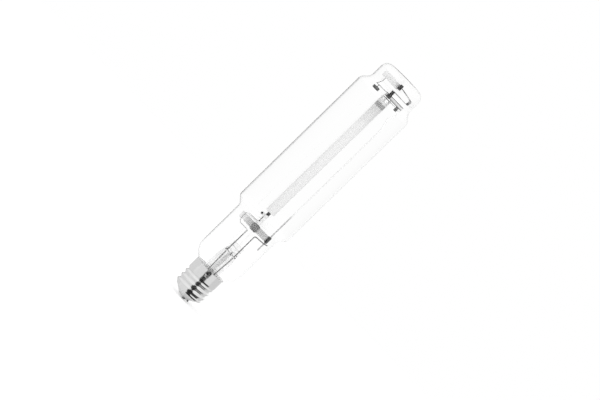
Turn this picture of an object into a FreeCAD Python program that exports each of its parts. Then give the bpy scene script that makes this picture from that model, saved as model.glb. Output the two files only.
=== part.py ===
import FreeCAD, Part
import math
import os
import types
import Sketcher

# A tubular high pressure sodium lamp with a mogul screw cap, in millimetres.
# The lamp's axis is +Z, cap down. The origin is on the axis, at the lowest face of the centre contact.
# +X is the side of the frame rod that carries the current up past the arc tube. The front is -Y.

Vector = FreeCAD.Vector
UP = Vector(0, 0, 1)
TINY = 1e-6

# Driving sizes. Heights are above the centre contact's lowest face. The stem carries the press, the press
# the bridge and the bridge the arc tube's foot. Rises in the head are above the arc tube's top.
SIZES = {
    # outer bulb: a cylinder drawn in to a waist below and to a dome above
    "bulb_radius": 37.0,
    "waist_radius": 29.4,
    "dome_radius": 29.0,
    "glass_wall": 1.2,
    "seal_radius": 16.0,
    "seal_height": 26.0,
    "flare_foot_height": 41.5,
    "flare_top_height": 54.5,
    "flare_foot_round": 6.0,
    "flare_top_round": 15.0,
    "lower_step_foot": 118.65,
    "lower_step_top": 126.65,
    "lower_step_round": 5.0,
    "overall_length": 344.4,
    "dome_height": 25.65,
    "upper_step_height": 8.0,
    "upper_step_round": 9.0,
    "crown_rise": 1.6,
    "dome_round": 9.0,
    # screw cap: thin sheet with a rolled thread
    "crest_radius": 19.75,
    "thread_pitch": 6.35,
    "thread_depth": 1.8,
    "top_crest_height": 32.0,
    "thread_run_out": 1.06,
    "shell_wall": 0.35,
    "joint_tolerance": 0.001,
    "shell_foot_height": 8.8,
    "shell_foot_radius": 17.0,
    "foot_turn_height": 3.4,
    "rim_height": 44.5,
    # glass insulator, centre contact and its solder
    "insulator_foot_radius": 8.0,
    "insulator_foot_height": 3.0,
    "insulator_top_height": 13.0,
    "insulator_bore_radius": 2.2,
    "insulator_clearance": 0.1,
    "contact_radius": 7.6,
    "contact_face_radius": 3.6,
    "contact_face_height": 1.0,
    "contact_edge": 0.6,
    "solder_radius": 2.8,
    "solder_flat_radius": 1.8,
    # cement that holds the cap on the glass
    "cement_foot_height": 34.0,
    "cement_top_height": 44.0,
    # stem: flare, tube, press and exhaust tube in one glass, sealed in at a slight lean
    "stem_lean": 3.2,
    "stem_radius": 10.0,
    "flare_height": 9.0,
    "stem_shoulder_height": 66.0,
    "press_foot_rise": 7.0,
    "press_height": 12.5,
    "press_width": 16.6,
    "press_depth": 6.5,
    "exhaust_radius": 2.6,
    "exhaust_bore_radius": 1.6,
    "exhaust_tip_height": 22.0,
    # leads through the press
    "lead_radius": 0.7,
    "lead_clearance": 0.1,
    "lead_bend": 2.2,
    "left_lead_x": -2.8,
    "right_lead_x": 8.2,
    "lead_top_drop": 4.2,
    "right_lead_drop": 2.2,
    "right_lead_end_x": 25.2,
    "right_lead_end_rise": 1.4,
    "right_lead_climb": 1.0,
    "lead_straight_drop": 5.0,
    "left_lead_foot": 0.35,
    "left_lead_turn_height": 20.5,
    "left_lead_cap_x": -2.0,
    "left_lead_cap_y": -4.5,
    "right_lead_top_in_cap": 41.0,
    "right_lead_joggle_top": 36.5,
    "right_lead_joggle_foot": 32.5,
    "right_lead_under_neck": 21.5,
    "right_lead_turn_x": 6.0,
    "right_lead_turn_y": 8.0,
    "right_lead_rise_x": 6.5,
    "right_lead_rise_y": 5.0,
    "right_lead_rise_height": 32.0,
    # thin wire from the left lead round the bridge to the arc tube's foot
    "return_radius": 0.45,
    "return_left_x": -17.2,
    "return_level_rise": 11.4,
    "return_bend": 2.0,
    "return_foot_drop": 10.2,
    "return_turn_drop": 3.8,
    "return_slant": 2.6,
    "return_climb": 1.0,
    # frame rod beside the arc tube, with a bow at its top
    "rod_x": 21.0,
    "rod_radius": 0.8,
    "rod_foot_drop": 12.2,
    "bow_neck_x": 17.4,
    "rod_end_x": 15.4,
    "rod_straight_top_rise": -28.0,
    "bow_neck_rise": -15.0,
    "bow_belly_rise": -7.6,
    "rod_end_rise": -1.6,
    "rod_bend": 2.4,
    # bridge: two sheet strips round a ceramic bush, hooked round a ferrule on the rod
    "ferrule_radius": 1.6,
    "ferrule_height": 9.6,
    "bridge_rise": 22.7,
    "bridge_height": 8.2,
    "strip_thickness": 0.5,
    "bridge_left_x": -20.6,
    "back_strip_reach": 10.0,
    "hook_return": 5.0,
    "bush_radius": 4.0,
    "bush_height": 10.0,
    "bush_clearance": 0.15,
    "saddle_round": 3.4,
    "corner_round": 0.45,
    # arc tube of translucent ceramic, its plugs and end tubes
    "arc_x": 1.0,
    "arc_radius": 5.9,
    "arc_wall": 0.8,
    "arc_foot_rise": 26.8,
    "arc_top_drop": 30.4,
    "plug_recess": 0.5,
    "plug_height": 5.0,
    "end_tube_radius": 2.0,
    "end_tube_wall": 0.4,
    "end_tube_inside": 6.5,
    "end_tube_floor": 1.0,
    "lower_end_tube_rise": 3.8,
    "upper_end_tube_rise": 10.2,
    # electrodes
    "electrode_radius": 1.0,
    "electrode_reach": 17.5,
    "coil_wire_radius": 0.62,
    "coil_pitch": 1.5,
    "coil_height": 7.5,
    "coil_inset": 1.2,
    # foil band round the arc tube's top
    "shield_height": 13.4,
    "shield_wall": 0.25,
    "shield_wrap_angle": 350.0,
    "shield_seam_angle": 95.0,
    # tab that joins the thin wire to the lower end tube
    "tab_foot_rise": 18.5,
    "tab_height": 4.0,
    "tab_thickness": 0.4,
    "tab_reach": 6.6,
    # cross strap over the arc tube: a channel open to the front
    "strap_foot_rise": 0.6,
    "strap_height": 3.8,
    "strap_left_x": -4.0,
    "strap_right_x": 21.5,
    "strap_front_y": -3.0,
    "strap_back_y": 2.9,
    "strap_flange": 0.8,
    # tab between the strap and the rod's end
    "rod_tab_width": 3.6,
    "rod_tab_depth": 3.4,
    "rod_tab_drop": 2.0,
    "rod_tab_overhang": 0.9,
    # getter: a channel ring on a wire below an arm
    "arm_left_x": -19.6,
    "arm_right_x": 3.6,
    "arm_foot_rise": 2.5,
    "arm_height": 1.3,
    "arm_thickness": 0.4,
    "getter_x": -15.75,
    "getter_radius": 4.25,
    "getter_width": 1.7,
    "getter_height": 1.7,
    "getter_floor": 0.3,
    "getter_rise": -1.1,
    "getter_tilt": 10.0,
    "getter_wire_radius": 0.35,
    # sprung strips that brace the frame against the dome
    "spring_thickness": 0.4,
    "spring_gap": 0.25,
    "right_spring_thickness": 0.6,
    "right_spring_angle": 37.0,
    "right_spring_width": 4.9,
    "right_spring_turn": 3.0,
    "right_spring_return_turn": 2.7,
    "left_spring_angle": 218.0,
    "left_spring_width": 6.9,
    "left_spring_start": 0.2,
    "left_spring_rise": 13.9,
    "left_spring_turn": 2.4,
    "left_spring_return": 9.6,
    "pin_radius": 2.0,
    "pin_foot_rise": 15.4,
    "pin_height": 6.6,
    "pin_x": 3.0,
    "stay_radius": 0.5,
    "stay_inset": 0.4,
    "stay_from_glass": 7.2,
    "stay_top_inset": 0.5,
    "stay_bend_drop": 4.0,
    "stay_foot_bend": 1.2,
    "stay_top_bend": 3.0,
}


class Size:
    """A length that keeps both its value and the sheet expression that gives it."""

    def __init__(self, number, text):
        self.number = number
        self.text = text

    def __float__(self):
        return float(self.number)

    def joined(self, sign, other, number):
        return Size(number, "(" + self.text + " " + sign + " " + as_size(other).text + ")")

    def __add__(self, other):
        return self.joined("+", other, self.number + float(other))

    def __sub__(self, other):
        return self.joined("-", other, self.number - float(other))

    def __mul__(self, other):
        return self.joined("*", other, self.number * float(other))

    def __truediv__(self, other):
        return self.joined("/", other, self.number / float(other))

    def __radd__(self, other):
        return as_size(other) + self

    def __rsub__(self, other):
        return as_size(other) - self

    def __rmul__(self, other):
        return as_size(other) * self

    def __neg__(self):
        return as_size(0) - self


def as_size(value):
    if isinstance(value, Size):
        return value
    return Size(float(value), repr(float(value)))


doc = FreeCAD.newDocument("sodium_lamp")
sheet = doc.addObject("Spreadsheet::Sheet", "Sizes")
for row, (alias, number) in enumerate(SIZES.items(), start=1):
    sheet.set("A" + str(row), alias.replace("_", " "))
    sheet.set("B" + str(row), str(number))
    sheet.setAlias("B" + str(row), alias)
doc.recompute()
S = types.SimpleNamespace(**{alias: Size(sheet.get(alias), "Sizes." + alias) for alias in SIZES})

# The press follows the stem, and the leads, the bridge and the arc tube's foot follow the press
S.press_foot_height = S.stem_shoulder_height + S.press_foot_rise
S.press_top_height = S.press_foot_height + S.press_height
S.bridge_foot_height = S.press_top_height + S.bridge_rise
S.lead_straight_foot = S.press_foot_height - S.lead_straight_drop
S.lead_top_height = S.bridge_foot_height - S.lead_top_drop
S.right_lead_level = S.bridge_foot_height - S.right_lead_drop
S.return_foot_height = S.bridge_foot_height - S.return_foot_drop
S.return_turn_height = S.bridge_foot_height - S.return_turn_drop
S.return_level = S.bridge_foot_height + S.return_level_rise
S.rod_foot_height = S.bridge_foot_height - S.rod_foot_drop
S.arc_foot_height = S.bridge_foot_height + S.arc_foot_rise
S.lower_end_tube_foot = S.bridge_foot_height + S.lower_end_tube_rise
S.tab_foot_height = S.bridge_foot_height + S.tab_foot_rise

# The dome and the frame's head follow the bulb's length
S.upper_step_top = S.overall_length - S.dome_height
S.upper_step_foot = S.upper_step_top - S.upper_step_height
S.arc_top_height = S.overall_length - S.arc_top_drop
S.rod_straight_top = S.arc_top_height + S.rod_straight_top_rise
S.bow_neck_height = S.arc_top_height + S.bow_neck_rise
S.bow_belly_height = S.arc_top_height + S.bow_belly_rise
S.rod_end_height = S.arc_top_height + S.rod_end_rise
S.upper_end_tube_top = S.arc_top_height + S.upper_end_tube_rise
S.strap_foot_height = S.arc_top_height + S.strap_foot_rise
S.arm_foot_height = S.arc_top_height + S.arm_foot_rise
S.getter_level = S.arc_top_height + S.getter_rise
S.left_spring_foot = S.arc_top_height + S.left_spring_rise
S.pin_foot_height = S.arc_top_height + S.pin_foot_rise

parts = {}


def publish(name, shape_object):
    """Names a finished sub-part."""
    shape_object.Label = name
    parts[name] = shape_object
    return shape_object


def bind(obj, **values):
    """Ties properties of an object to the sheet. A double underscore stands for a dot."""
    for path, value in values.items():
        obj.setExpression(path.replace("__", "."), as_size(value).text)
    return obj


def place(obj, x=0, y=0, z=0):
    return bind(obj, Placement__Base__x=x, Placement__Base__y=y, Placement__Base__z=z)


# Bodies of revolution and prisms from sketched profiles

AXIS_ARC = "arc centred on the axis"


def origin_plane(body, role):
    return next(item for item in body.Origin.OriginFeatures if item.Role == role)


def profile_sketch(body, corners, role="XZ_Plane"):
    """A closed profile with each corner tied to the sheet.

    A corner is (across, up), or (across, up, AXIS_ARC) where the edge after it is an arc about the axis.
    """
    sketch = body.newObject("Sketcher::SketchObject", body.Name + "_profile")
    sketch.AttachmentSupport = (origin_plane(body, role), [""])
    sketch.MapMode = "FlatFace"
    points = [Vector(float(corner[0]), float(corner[1]), 0) for corner in corners]
    count = len(points)
    for index in range(count):
        start = points[index]
        end = points[(index + 1) % count]
        if AXIS_ARC in corners[index]:
            add_axis_arc(sketch, start, end)
        else:
            sketch.addGeometry(Part.LineSegment(start, end), False)
    for index in range(count):
        follower = (index + 1) % count
        sketch.addConstraint(Sketcher.Constraint(
            "Coincident", index, end_of(sketch, index), follower, start_of(sketch, follower)))
    for index, corner in enumerate(corners):
        own = start_of(sketch, index)
        for kind, axis, value in (("DistanceX", -2, corner[0]), ("DistanceY", -1, corner[1])):
            if abs(float(value)) < TINY:
                sketch.addConstraint(Sketcher.Constraint("PointOnObject", index, own, axis))
                continue
            number = sketch.addConstraint(Sketcher.Constraint(kind, -1, 1, index, own, float(value)))
            sketch.setExpression("Constraints[" + str(number) + "]", as_size(value).text)
    return sketch


def add_axis_arc(sketch, start, end):
    """An arc from start to end whose centre lies on the sketch's upright axis."""
    rise = (start.x ** 2 - end.x ** 2) / (2 * (end.y - start.y))
    centre = Vector(0, (start.y + end.y) / 2 - rise, 0)
    radius = start.distanceToPoint(centre)
    from_angle = math.atan2(start.y - centre.y, start.x - centre.x)
    to_angle = math.atan2(end.y - centre.y, end.x - centre.x)
    circle = Part.Circle(centre, UP, radius)
    arc = Part.ArcOfCircle(circle, min(from_angle, to_angle), max(from_angle, to_angle))
    number = sketch.addGeometry(arc, False)
    sketch.addConstraint(Sketcher.Constraint("PointOnObject", number, 3, -2))
    reversed_arcs[(sketch.Name, number)] = from_angle > to_angle


reversed_arcs = {}


def start_of(sketch, number):
    return 2 if reversed_arcs.get((sketch.Name, number)) else 1


def end_of(sketch, number):
    return 1 if reversed_arcs.get((sketch.Name, number)) else 2


def turned_body(name, corners):
    """A body turned about +Z from a closed profile of (radius, height) corners."""
    body = doc.addObject("PartDesign::Body", name)
    sketch = profile_sketch(body, corners)
    turned = body.newObject("PartDesign::Revolution", name + "_turned")
    turned.Profile = sketch
    turned.ReferenceAxis = (sketch, ["V_Axis"])
    turned.Angle = 360
    doc.recompute()
    return body


def round_rim(body, radius, height, rounding):
    """Rounds the circular edge of a turned body at a radius and a height."""
    base = body.Tip
    for number, edge in enumerate(base.Shape.Edges, start=1):
        curve = edge.Curve
        if not isinstance(curve, Part.Circle):
            continue
        if abs(curve.Radius - float(radius)) < 1e-4 and abs(curve.Center.z - float(height)) < 1e-4:
            rounded = body.newObject("PartDesign::Fillet", base.Name + "_round")
            rounded.Base = (base, ["Edge" + str(number)])
            bind(rounded, Radius=rounding)
            doc.recompute()
            return
    raise RuntimeError("no rim at that radius and height on " + body.Name)


# Part primitives and booleans


def cylinder(name, radius, height, x=0, y=0, z=0):
    solid = doc.addObject("Part::Cylinder", name)
    bind(solid, Radius=radius, Height=height)
    return place(solid, x, y, z)


def box(name, length, width, height, x, y, z):
    solid = doc.addObject("Part::Box", name)
    bind(solid, Length=length, Width=width, Height=height)
    return place(solid, x, y, z)


def cut(name, base, tool):
    difference = doc.addObject("Part::Cut", name)
    difference.Base = base
    difference.Tool = tool
    return difference


def tube(name, radius, bore, height, x=0, y=0, z=0):
    outside = cylinder(name + "_outside", radius, height, x, y, z)
    inside = cylinder(name + "_bore", bore, height, x, y, z)
    return cut(name, outside, inside)


# Wires and strips


def rounded_path(points, rounding):
    """Straight runs between points, joined by tangent arcs."""
    radii = rounding if isinstance(rounding, list) else [rounding] * (len(points) - 2)
    edges = []
    start = points[0]
    for index, radius in enumerate(radii, start=1):
        corner = points[index]
        back = (points[index - 1] - corner).normalize()
        ahead = (points[index + 1] - corner).normalize()
        half_turn = (math.pi - back.getAngle(ahead)) / 2
        reach = float(radius) * math.tan(half_turn)
        inward = (back + ahead).normalize() * (float(radius) / math.cos(half_turn) - float(radius))
        arc_start = corner + back * reach
        arc_end = corner + ahead * reach
        if start.distanceToPoint(arc_start) > 1e-4:
            edges.append(Part.LineSegment(start, arc_start).toShape())
        edges.append(Part.Arc(arc_start, corner + inward, arc_end).toShape())
        start = arc_end
    edges.append(Part.LineSegment(start, points[-1]).toShape())
    return edges


def points_from(*places):
    return [Vector(float(x), float(y), float(z)) for x, y, z in places]


def solid_feature(name, shape):
    feature = doc.addObject("Part::Feature", name)
    feature.Shape = shape
    return feature


def wire(name, radius, points, rounding):
    """A round wire along a path."""
    path = Part.Wire(rounded_path(points, rounding))
    section = Part.Wire(Part.makeCircle(float(radius), points[0], points[1] - points[0]))
    solid = path.makePipeShell([section], True, False)
    expected = math.pi * float(radius) ** 2 * path.Length
    if abs(solid.Volume - expected) > 0.02 * expected:
        raise RuntimeError("the sweep of " + name + " has the wrong volume")
    return solid_feature(name, solid)


def offset_line(points, distance):
    """The corners of a flat line moved to its left by a distance."""
    normals = []
    for start, end in zip(points, points[1:]):
        along = (end - start).normalize()
        normals.append(Vector(-along.y, along.x, 0))
    moved = [points[0] + normals[0] * distance]
    for corner, before, after in zip(points[1:], normals, normals[1:]):
        moved.append(corner + (before + after) * (distance / (1 + before.dot(after))))
    moved.append(points[-1] + normals[-1] * distance)
    return moved


def strip(name, points, radii, thickness, width, placement):
    """A bent sheet strip: a flat line of even thickness, extruded by the strip's width."""
    half = float(thickness) / 2
    turns = []
    for before, corner, after in zip(points, points[1:], points[2:]):
        cross = (corner - before).cross(after - corner).z
        turns.append(1 if cross > 0 else -1)
    left_radii = [float(radius) - turn * half for radius, turn in zip(radii, turns)]
    right_radii = [float(radius) + turn * half for radius, turn in zip(radii, turns)]
    left = offset_line(points, half)
    right = offset_line(points, -half)
    edges = rounded_path(left, left_radii) + rounded_path(right, right_radii)
    edges.append(Part.LineSegment(left[0], right[0]).toShape())
    edges.append(Part.LineSegment(left[-1], right[-1]).toShape())
    outline = Part.Wire(Part.sortEdges(edges)[0])
    feature = solid_feature(name, Part.Face(outline).extrude(UP * float(width)))
    feature.Placement = placement
    return feature


# Outer bulb: one blown glass, open only at the neck that the stem seals


def root(value):
    return Size(math.sqrt(float(value)), "sqrt(" + value.text + ")")


def slant_shift(widening, rise, inset):
    """How far a corner of an upright and a slanted wall moves along the axis as the wall moves in."""
    slant = root(widening * widening + rise * rise)
    return inset * (slant - rise) / widening


def bulb_form(name, inset):
    """The bulb's outer form, or the space in it at an inset. Each bend is an arc about one centre in both."""
    shoulder = S.overall_length - S.crown_rise - inset
    flare = slant_shift(S.waist_radius - S.seal_radius, S.flare_top_height - S.flare_foot_height, inset)
    step = slant_shift(S.bulb_radius - S.waist_radius, S.lower_step_top - S.lower_step_foot, inset)
    upper = slant_shift(S.bulb_radius - S.dome_radius, S.upper_step_top - S.upper_step_foot, inset)
    neck = (S.seal_radius - inset, S.flare_foot_height + flare)
    waist_foot = (S.waist_radius - inset, S.flare_top_height + flare)
    waist_top = (S.waist_radius - inset, S.lower_step_foot + step)
    body_foot = (S.bulb_radius - inset, S.lower_step_top + step)
    body_top = (S.bulb_radius - inset, S.upper_step_foot - upper)
    dome_foot = (S.dome_radius - inset, S.upper_step_top - upper)
    dome_rim = (S.dome_radius - inset, shoulder)
    body = turned_body(name, [
        (0, S.seal_height),
        (S.seal_radius - inset, S.seal_height),
        neck,
        waist_foot,
        waist_top,
        body_foot,
        body_top,
        dome_foot,
        (*dome_rim, AXIS_ARC),
        (0, S.overall_length - inset),
    ])
    round_rim(body, *neck, S.flare_foot_round + inset)
    round_rim(body, *waist_foot, S.flare_top_round - inset)
    round_rim(body, *waist_top, S.lower_step_round + inset)
    round_rim(body, *body_foot, S.lower_step_round - inset)
    round_rim(body, *body_top, S.upper_step_round - inset)
    round_rim(body, *dome_foot, S.upper_step_round + inset)
    round_rim(body, *dome_rim, S.dome_round - inset)
    return body


def make_outer_bulb():
    outside = bulb_form("bulb_outside", as_size(0))
    publish("outer_bulb", cut("outer_bulb", outside, bulb_form("bulb_space", S.glass_wall)))
    return outside


# Screw cap


def shell_radius(angle, height):
    """Outer radius of the cap's shell: a thread that fades into a plain skirt and a turned-in foot."""
    pitch = float(S.thread_pitch)
    depth = float(S.thread_depth)
    crest = float(S.crest_radius)
    turn = (height - float(S.top_crest_height)) / pitch - (angle - math.pi) / (2 * math.pi)
    phase = abs(turn - round(turn))
    # crest and root are arcs of one radius, which the pitch and the depth fix
    arc = ((pitch / 4) ** 2 + (depth / 2) ** 2) / depth
    if phase < 0.25:
        below_crest = arc - math.sqrt(arc ** 2 - (phase * pitch) ** 2)
    else:
        below_crest = depth - arc + math.sqrt(arc ** 2 - ((0.5 - phase) * pitch) ** 2)
    skirt = smooth_step((height - float(S.top_crest_height) + pitch / 2) / (pitch / 2))
    threaded = crest - below_crest * (1 - skirt)
    foot = smooth_step((height - float(S.shell_foot_height)) / float(S.foot_turn_height))
    return float(S.shell_foot_radius) + (threaded - float(S.shell_foot_radius)) * foot


def smooth_step(share):
    share = min(max(share, 0.0), 1.0)
    return share * share * (3 - 2 * share)


def shell_face(inset):
    """The threaded surface as one closed sheet, set in by a distance, between the foot and the skirt."""
    columns = 48
    rows_per_pitch = 12
    foot = float(S.shell_foot_height)
    threaded_height = float(skirt_foot()) - foot
    rows = round(rows_per_pitch * threaded_height / float(S.thread_pitch))
    grid = []
    for column in range(columns + 1):
        angle = 2 * math.pi * (column % columns) / columns
        line = []
        for row in range(rows + 1):
            height = foot + threaded_height * row / rows
            radius = shell_radius(angle, height) - inset
            line.append(Vector(radius * math.cos(angle), radius * math.sin(angle), height))
        grid.append(line)
    surface = Part.BSplineSurface()
    surface.interpolate(grid)
    return surface.toShape()


def skirt_foot():
    """The thread has run out a little above its top crest."""
    return S.top_crest_height + S.thread_run_out


def end_ring(threads, end):
    """The flat ring between the lowest (min) or the highest (max) edges of two threaded sheets."""
    edges = [end(sheet.Edges, key=lambda edge: edge.CenterOfMass.z) for sheet in threads]
    return Part.makeRuledSurface(*edges)


def make_cap_shell():
    """A rolled thread of thin sheet under a plain turned skirt, in one piece."""
    threads = [shell_face(0.0), shell_face(float(S.shell_wall))]
    sewn = Part.makeShell(threads + [end_ring(threads, min), end_ring(threads, max)])
    sewn.sewShape(float(S.joint_tolerance))
    thread = Part.makeSolid(sewn.Shells[0])
    foot = Vector(0, 0, float(skirt_foot()))
    height = float(S.rim_height - skirt_foot())
    outside = Part.makeCylinder(float(S.crest_radius), height, foot)
    skirt = outside.cut(Part.makeCylinder(float(S.crest_radius - S.shell_wall), height, foot))
    shell = thread.fuse([skirt], float(S.joint_tolerance))
    expected = abs(thread.Volume) + skirt.Volume
    if abs(shell.Volume - expected) > 0.001 * expected:
        raise RuntimeError("the cap's thread and skirt did not join")
    publish("cap_shell", solid_feature("cap_shell", shell))


def make_insulator():
    rim = S.shell_foot_radius - S.shell_wall - S.insulator_clearance
    publish("cap_insulator", turned_body("cap_insulator", [
        (S.insulator_bore_radius, S.insulator_foot_height),
        (S.insulator_foot_radius, S.insulator_foot_height),
        (rim, S.shell_foot_height),
        (rim, S.insulator_top_height),
        (S.insulator_bore_radius, S.insulator_top_height),
    ]))


def make_centre_contact():
    hole = S.lead_radius + S.lead_clearance
    body = turned_body("centre_contact", [
        (hole, S.contact_face_height),
        (S.contact_face_radius, S.contact_face_height),
        (S.contact_radius, S.insulator_foot_height - S.contact_edge),
        (S.contact_radius, S.insulator_foot_height),
        (hole, S.insulator_foot_height),
    ])
    publish("centre_contact", body)


def make_contact_solder(lead):
    bead = turned_body("solder_bead", [
        (0, 0),
        (S.solder_flat_radius, 0),
        (S.solder_radius, S.contact_face_height),
        (0, S.contact_face_height),
    ])
    publish("contact_solder", cut("contact_solder", bead, lead))


def make_basing_cement(bulb_outside, lead):
    """Cement between the skirt and the neck, up to just below the skirt's rim."""
    height = S.cement_top_height - S.cement_foot_height
    disc = cylinder("cement_disc", S.crest_radius - S.shell_wall, height, z=S.cement_foot_height)
    ring = cut("cement_ring", disc, bulb_outside)
    publish("basing_cement", cut("basing_cement", ring, lead))


# Stem


def make_stem(left_lead, right_lead):
    """The stem stands on the seal and leans a little towards the frame rod."""
    wall = S.glass_wall
    mouth = S.seal_radius + S.glass_wall
    shoulder = S.stem_shoulder_height - S.seal_height
    press_foot = S.press_foot_height - S.seal_height
    press_top = S.press_top_height - S.seal_height
    tip = S.exhaust_tip_height - S.seal_height
    body = doc.addObject("PartDesign::Body", "stem_glass")
    tube_profile = [
        (mouth - wall, 0),
        (mouth, 0),
        (S.stem_radius, S.flare_height),
        (S.stem_radius, shoulder),
        (S.press_width / 2, press_foot),
        (0, press_foot),
        (0, press_foot - wall),
        (S.press_width / 2 - wall, press_foot - wall),
        (S.stem_radius - wall, shoulder),
        (S.stem_radius - wall, S.flare_height),
    ]
    exhaust_profile = [
        (0, tip),
        (S.exhaust_bore_radius, tip),
        (S.exhaust_radius, tip + S.exhaust_radius),
        (S.exhaust_radius, press_foot - wall / 2),
        (S.exhaust_bore_radius, press_foot - wall / 2),
        (S.exhaust_bore_radius, tip + S.exhaust_radius),
        (0, tip + S.exhaust_bore_radius),
    ]
    for label, corners in (("stem_tube", tube_profile), ("exhaust_tube", exhaust_profile)):
        sketch = profile_sketch(body, corners)
        turned = body.newObject("PartDesign::Revolution", label)
        turned.Profile = sketch
        turned.ReferenceAxis = (sketch, ["V_Axis"])
        turned.Angle = 360
        doc.recompute()
    press_sketch = profile_sketch(body, [
        (-S.press_width / 2, press_foot - wall / 2),
        (S.press_width / 2, press_foot - wall / 2),
        (S.press_width / 2, press_top),
        (-S.press_width / 2, press_top),
    ])
    press = body.newObject("PartDesign::Pad", "press")
    press.Profile = press_sketch
    press.SideType = "Symmetric"
    bind(press, Length=S.press_depth)
    doc.recompute()
    body.Placement = FreeCAD.Placement(Vector(), FreeCAD.Rotation(Vector(0, 1, 0), float(S.stem_lean)))
    place(body, z=S.seal_height)
    neck_bore = cylinder("neck_bore", S.seal_radius - wall, S.press_top_height + S.press_width)
    sealed = doc.addObject("Part::Common", "sealed_stem")
    sealed.Base = body
    sealed.Tool = neck_bore
    publish("stem", cut("stem", cut("stem_for_left_lead", sealed, left_lead), right_lead))


# Leads, frame rod and return wire


def make_left_lead():
    """From the centre contact's solder up past the exhaust tube and out of the press."""
    lead = wire("left_lead", S.lead_radius, points_from(
        (0, 0, S.left_lead_foot),
        (0, 0, S.insulator_top_height),
        (S.left_lead_cap_x, S.left_lead_cap_y, S.left_lead_turn_height),
        (S.left_lead_cap_x, S.left_lead_cap_y, S.rim_height),
        (S.left_lead_x, 0, S.lead_straight_foot),
        (S.left_lead_x, 0, S.lead_top_height),
    ), S.lead_bend)
    return publish("left_lead", lead)


def make_right_lead():
    """From inside the cap's skirt round the neck's end, up the stem and out of the press to the frame rod."""
    beside_neck = S.seal_radius + S.lead_radius + S.lead_clearance
    against_skirt = S.crest_radius - S.shell_wall - S.lead_radius - S.lead_clearance
    lead = wire("right_lead", S.lead_radius, points_from(
        (0, against_skirt, S.right_lead_top_in_cap),
        (0, against_skirt, S.right_lead_joggle_top),
        (0, beside_neck, S.right_lead_joggle_foot),
        (0, beside_neck, S.right_lead_under_neck),
        (S.right_lead_turn_x, S.right_lead_turn_y, S.right_lead_under_neck),
        (S.right_lead_rise_x, S.right_lead_rise_y, S.right_lead_rise_height),
        (S.right_lead_x, 0, S.lead_straight_foot),
        (S.right_lead_x, 0, S.right_lead_level - S.right_lead_climb),
        (S.rod_x, 0, S.right_lead_level),
        (S.right_lead_end_x, 0, S.right_lead_level + S.right_lead_end_rise),
    ), S.lead_bend)
    return publish("right_lead", lead)


def rod_depth():
    """The rod stands behind the bridge's front strip by the ferrule's radius."""
    return S.ferrule_radius


def make_side_rod():
    depth = rod_depth()
    rod = wire("side_rod", S.rod_radius, points_from(
        (S.rod_x, depth, S.rod_foot_height),
        (S.rod_x, depth, S.rod_straight_top),
        (S.bow_neck_x, depth, S.bow_neck_height),
        (S.rod_x + S.rod_radius, depth, S.bow_belly_height),
        (S.rod_x, depth, S.rod_end_height),
        (S.rod_end_x, depth, S.rod_end_height),
    ), S.rod_bend)
    return publish("side_rod", rod)


def return_plane():
    """Depth of the return wire: against the front of the left lead."""
    return -(S.lead_radius + S.return_radius)


def make_return_wire():
    depth = return_plane()
    beside_tube = S.arc_x - root((S.end_tube_radius + S.return_radius) * (S.end_tube_radius + S.return_radius)
                                 - depth * depth)
    publish("return_wire", wire("return_wire", S.return_radius, points_from(
        (S.left_lead_x, depth, S.return_foot_height),
        (S.left_lead_x, depth, S.return_turn_height),
        (S.return_left_x + S.return_slant, depth, S.return_turn_height),
        (S.return_left_x, depth, S.bridge_foot_height),
        (S.return_left_x, depth, S.return_level - S.return_climb),
        (beside_tube, depth, S.return_level),
        (beside_tube, depth, S.tab_foot_height),
    ), S.return_bend))


# Bridge below the arc tube


def bridge_strip(name, points, radii):
    """A strip of the bridge's thickness and height, at the bridge's level."""
    level = FreeCAD.Placement(Vector(0, 0, float(S.bridge_foot_height)), FreeCAD.Rotation())
    return strip(name, points, radii, S.strip_thickness, S.bridge_height, level)


def saddle_corners(side):
    """Corners of the half saddle round the bush, on the front (-1) or the back (1)."""
    leg = side * float(S.strip_thickness) / 2
    reach = float(S.bush_radius + S.strip_thickness / 2)
    centre = float(S.arc_x)
    return [
        Vector(centre + reach, leg, 0),
        Vector(centre + reach, side * reach, 0),
        Vector(centre - reach, side * reach, 0),
        Vector(centre - reach, leg, 0),
    ]


def make_bridge():
    """The front strip hooks round the ferrule and turns back at the left; a short strip backs it."""
    leg = -float(S.strip_thickness) / 2
    turn = float(S.ferrule_radius + S.strip_thickness / 2)
    returned = leg + 2 * turn
    right = float(S.rod_x) + turn
    left = float(S.bridge_left_x)
    hook = float(S.hook_return) + turn
    front_points = [
        Vector(right - hook, returned, 0),
        Vector(right, returned, 0),
        Vector(right, leg, 0),
        *saddle_corners(-1),
        Vector(left, leg, 0),
        Vector(left, returned, 0),
        Vector(left + hook, returned, 0),
    ]
    saddle_radii = [S.corner_round, S.saddle_round, S.saddle_round, S.corner_round]
    front_radii = [turn, turn] + saddle_radii + [turn, turn]
    publish("lower_bridge", bridge_strip("lower_bridge", front_points, front_radii))
    reach = float(S.back_strip_reach)
    centre = float(S.arc_x)
    back_points = [
        Vector(centre + reach, -leg, 0),
        *saddle_corners(1),
        Vector(centre - reach, -leg, 0),
    ]
    publish("bridge_back_strip", bridge_strip("bridge_back_strip", back_points, saddle_radii))
    bush_foot = S.bridge_foot_height + (S.bridge_height - S.bush_height) / 2
    bush_bore = S.end_tube_radius + S.bush_clearance
    bush = tube("bridge_bush", S.bush_radius, bush_bore, S.bush_height, x=S.arc_x, z=bush_foot)
    publish("bridge_bush", bush)
    ferrule_foot = S.bridge_foot_height + (S.bridge_height - S.ferrule_height) / 2
    ferrule = tube("rod_ferrule", S.ferrule_radius, S.rod_radius, S.ferrule_height,
                   x=S.rod_x, y=rod_depth(), z=ferrule_foot)
    publish("rod_ferrule", ferrule)


# Arc tube


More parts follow.
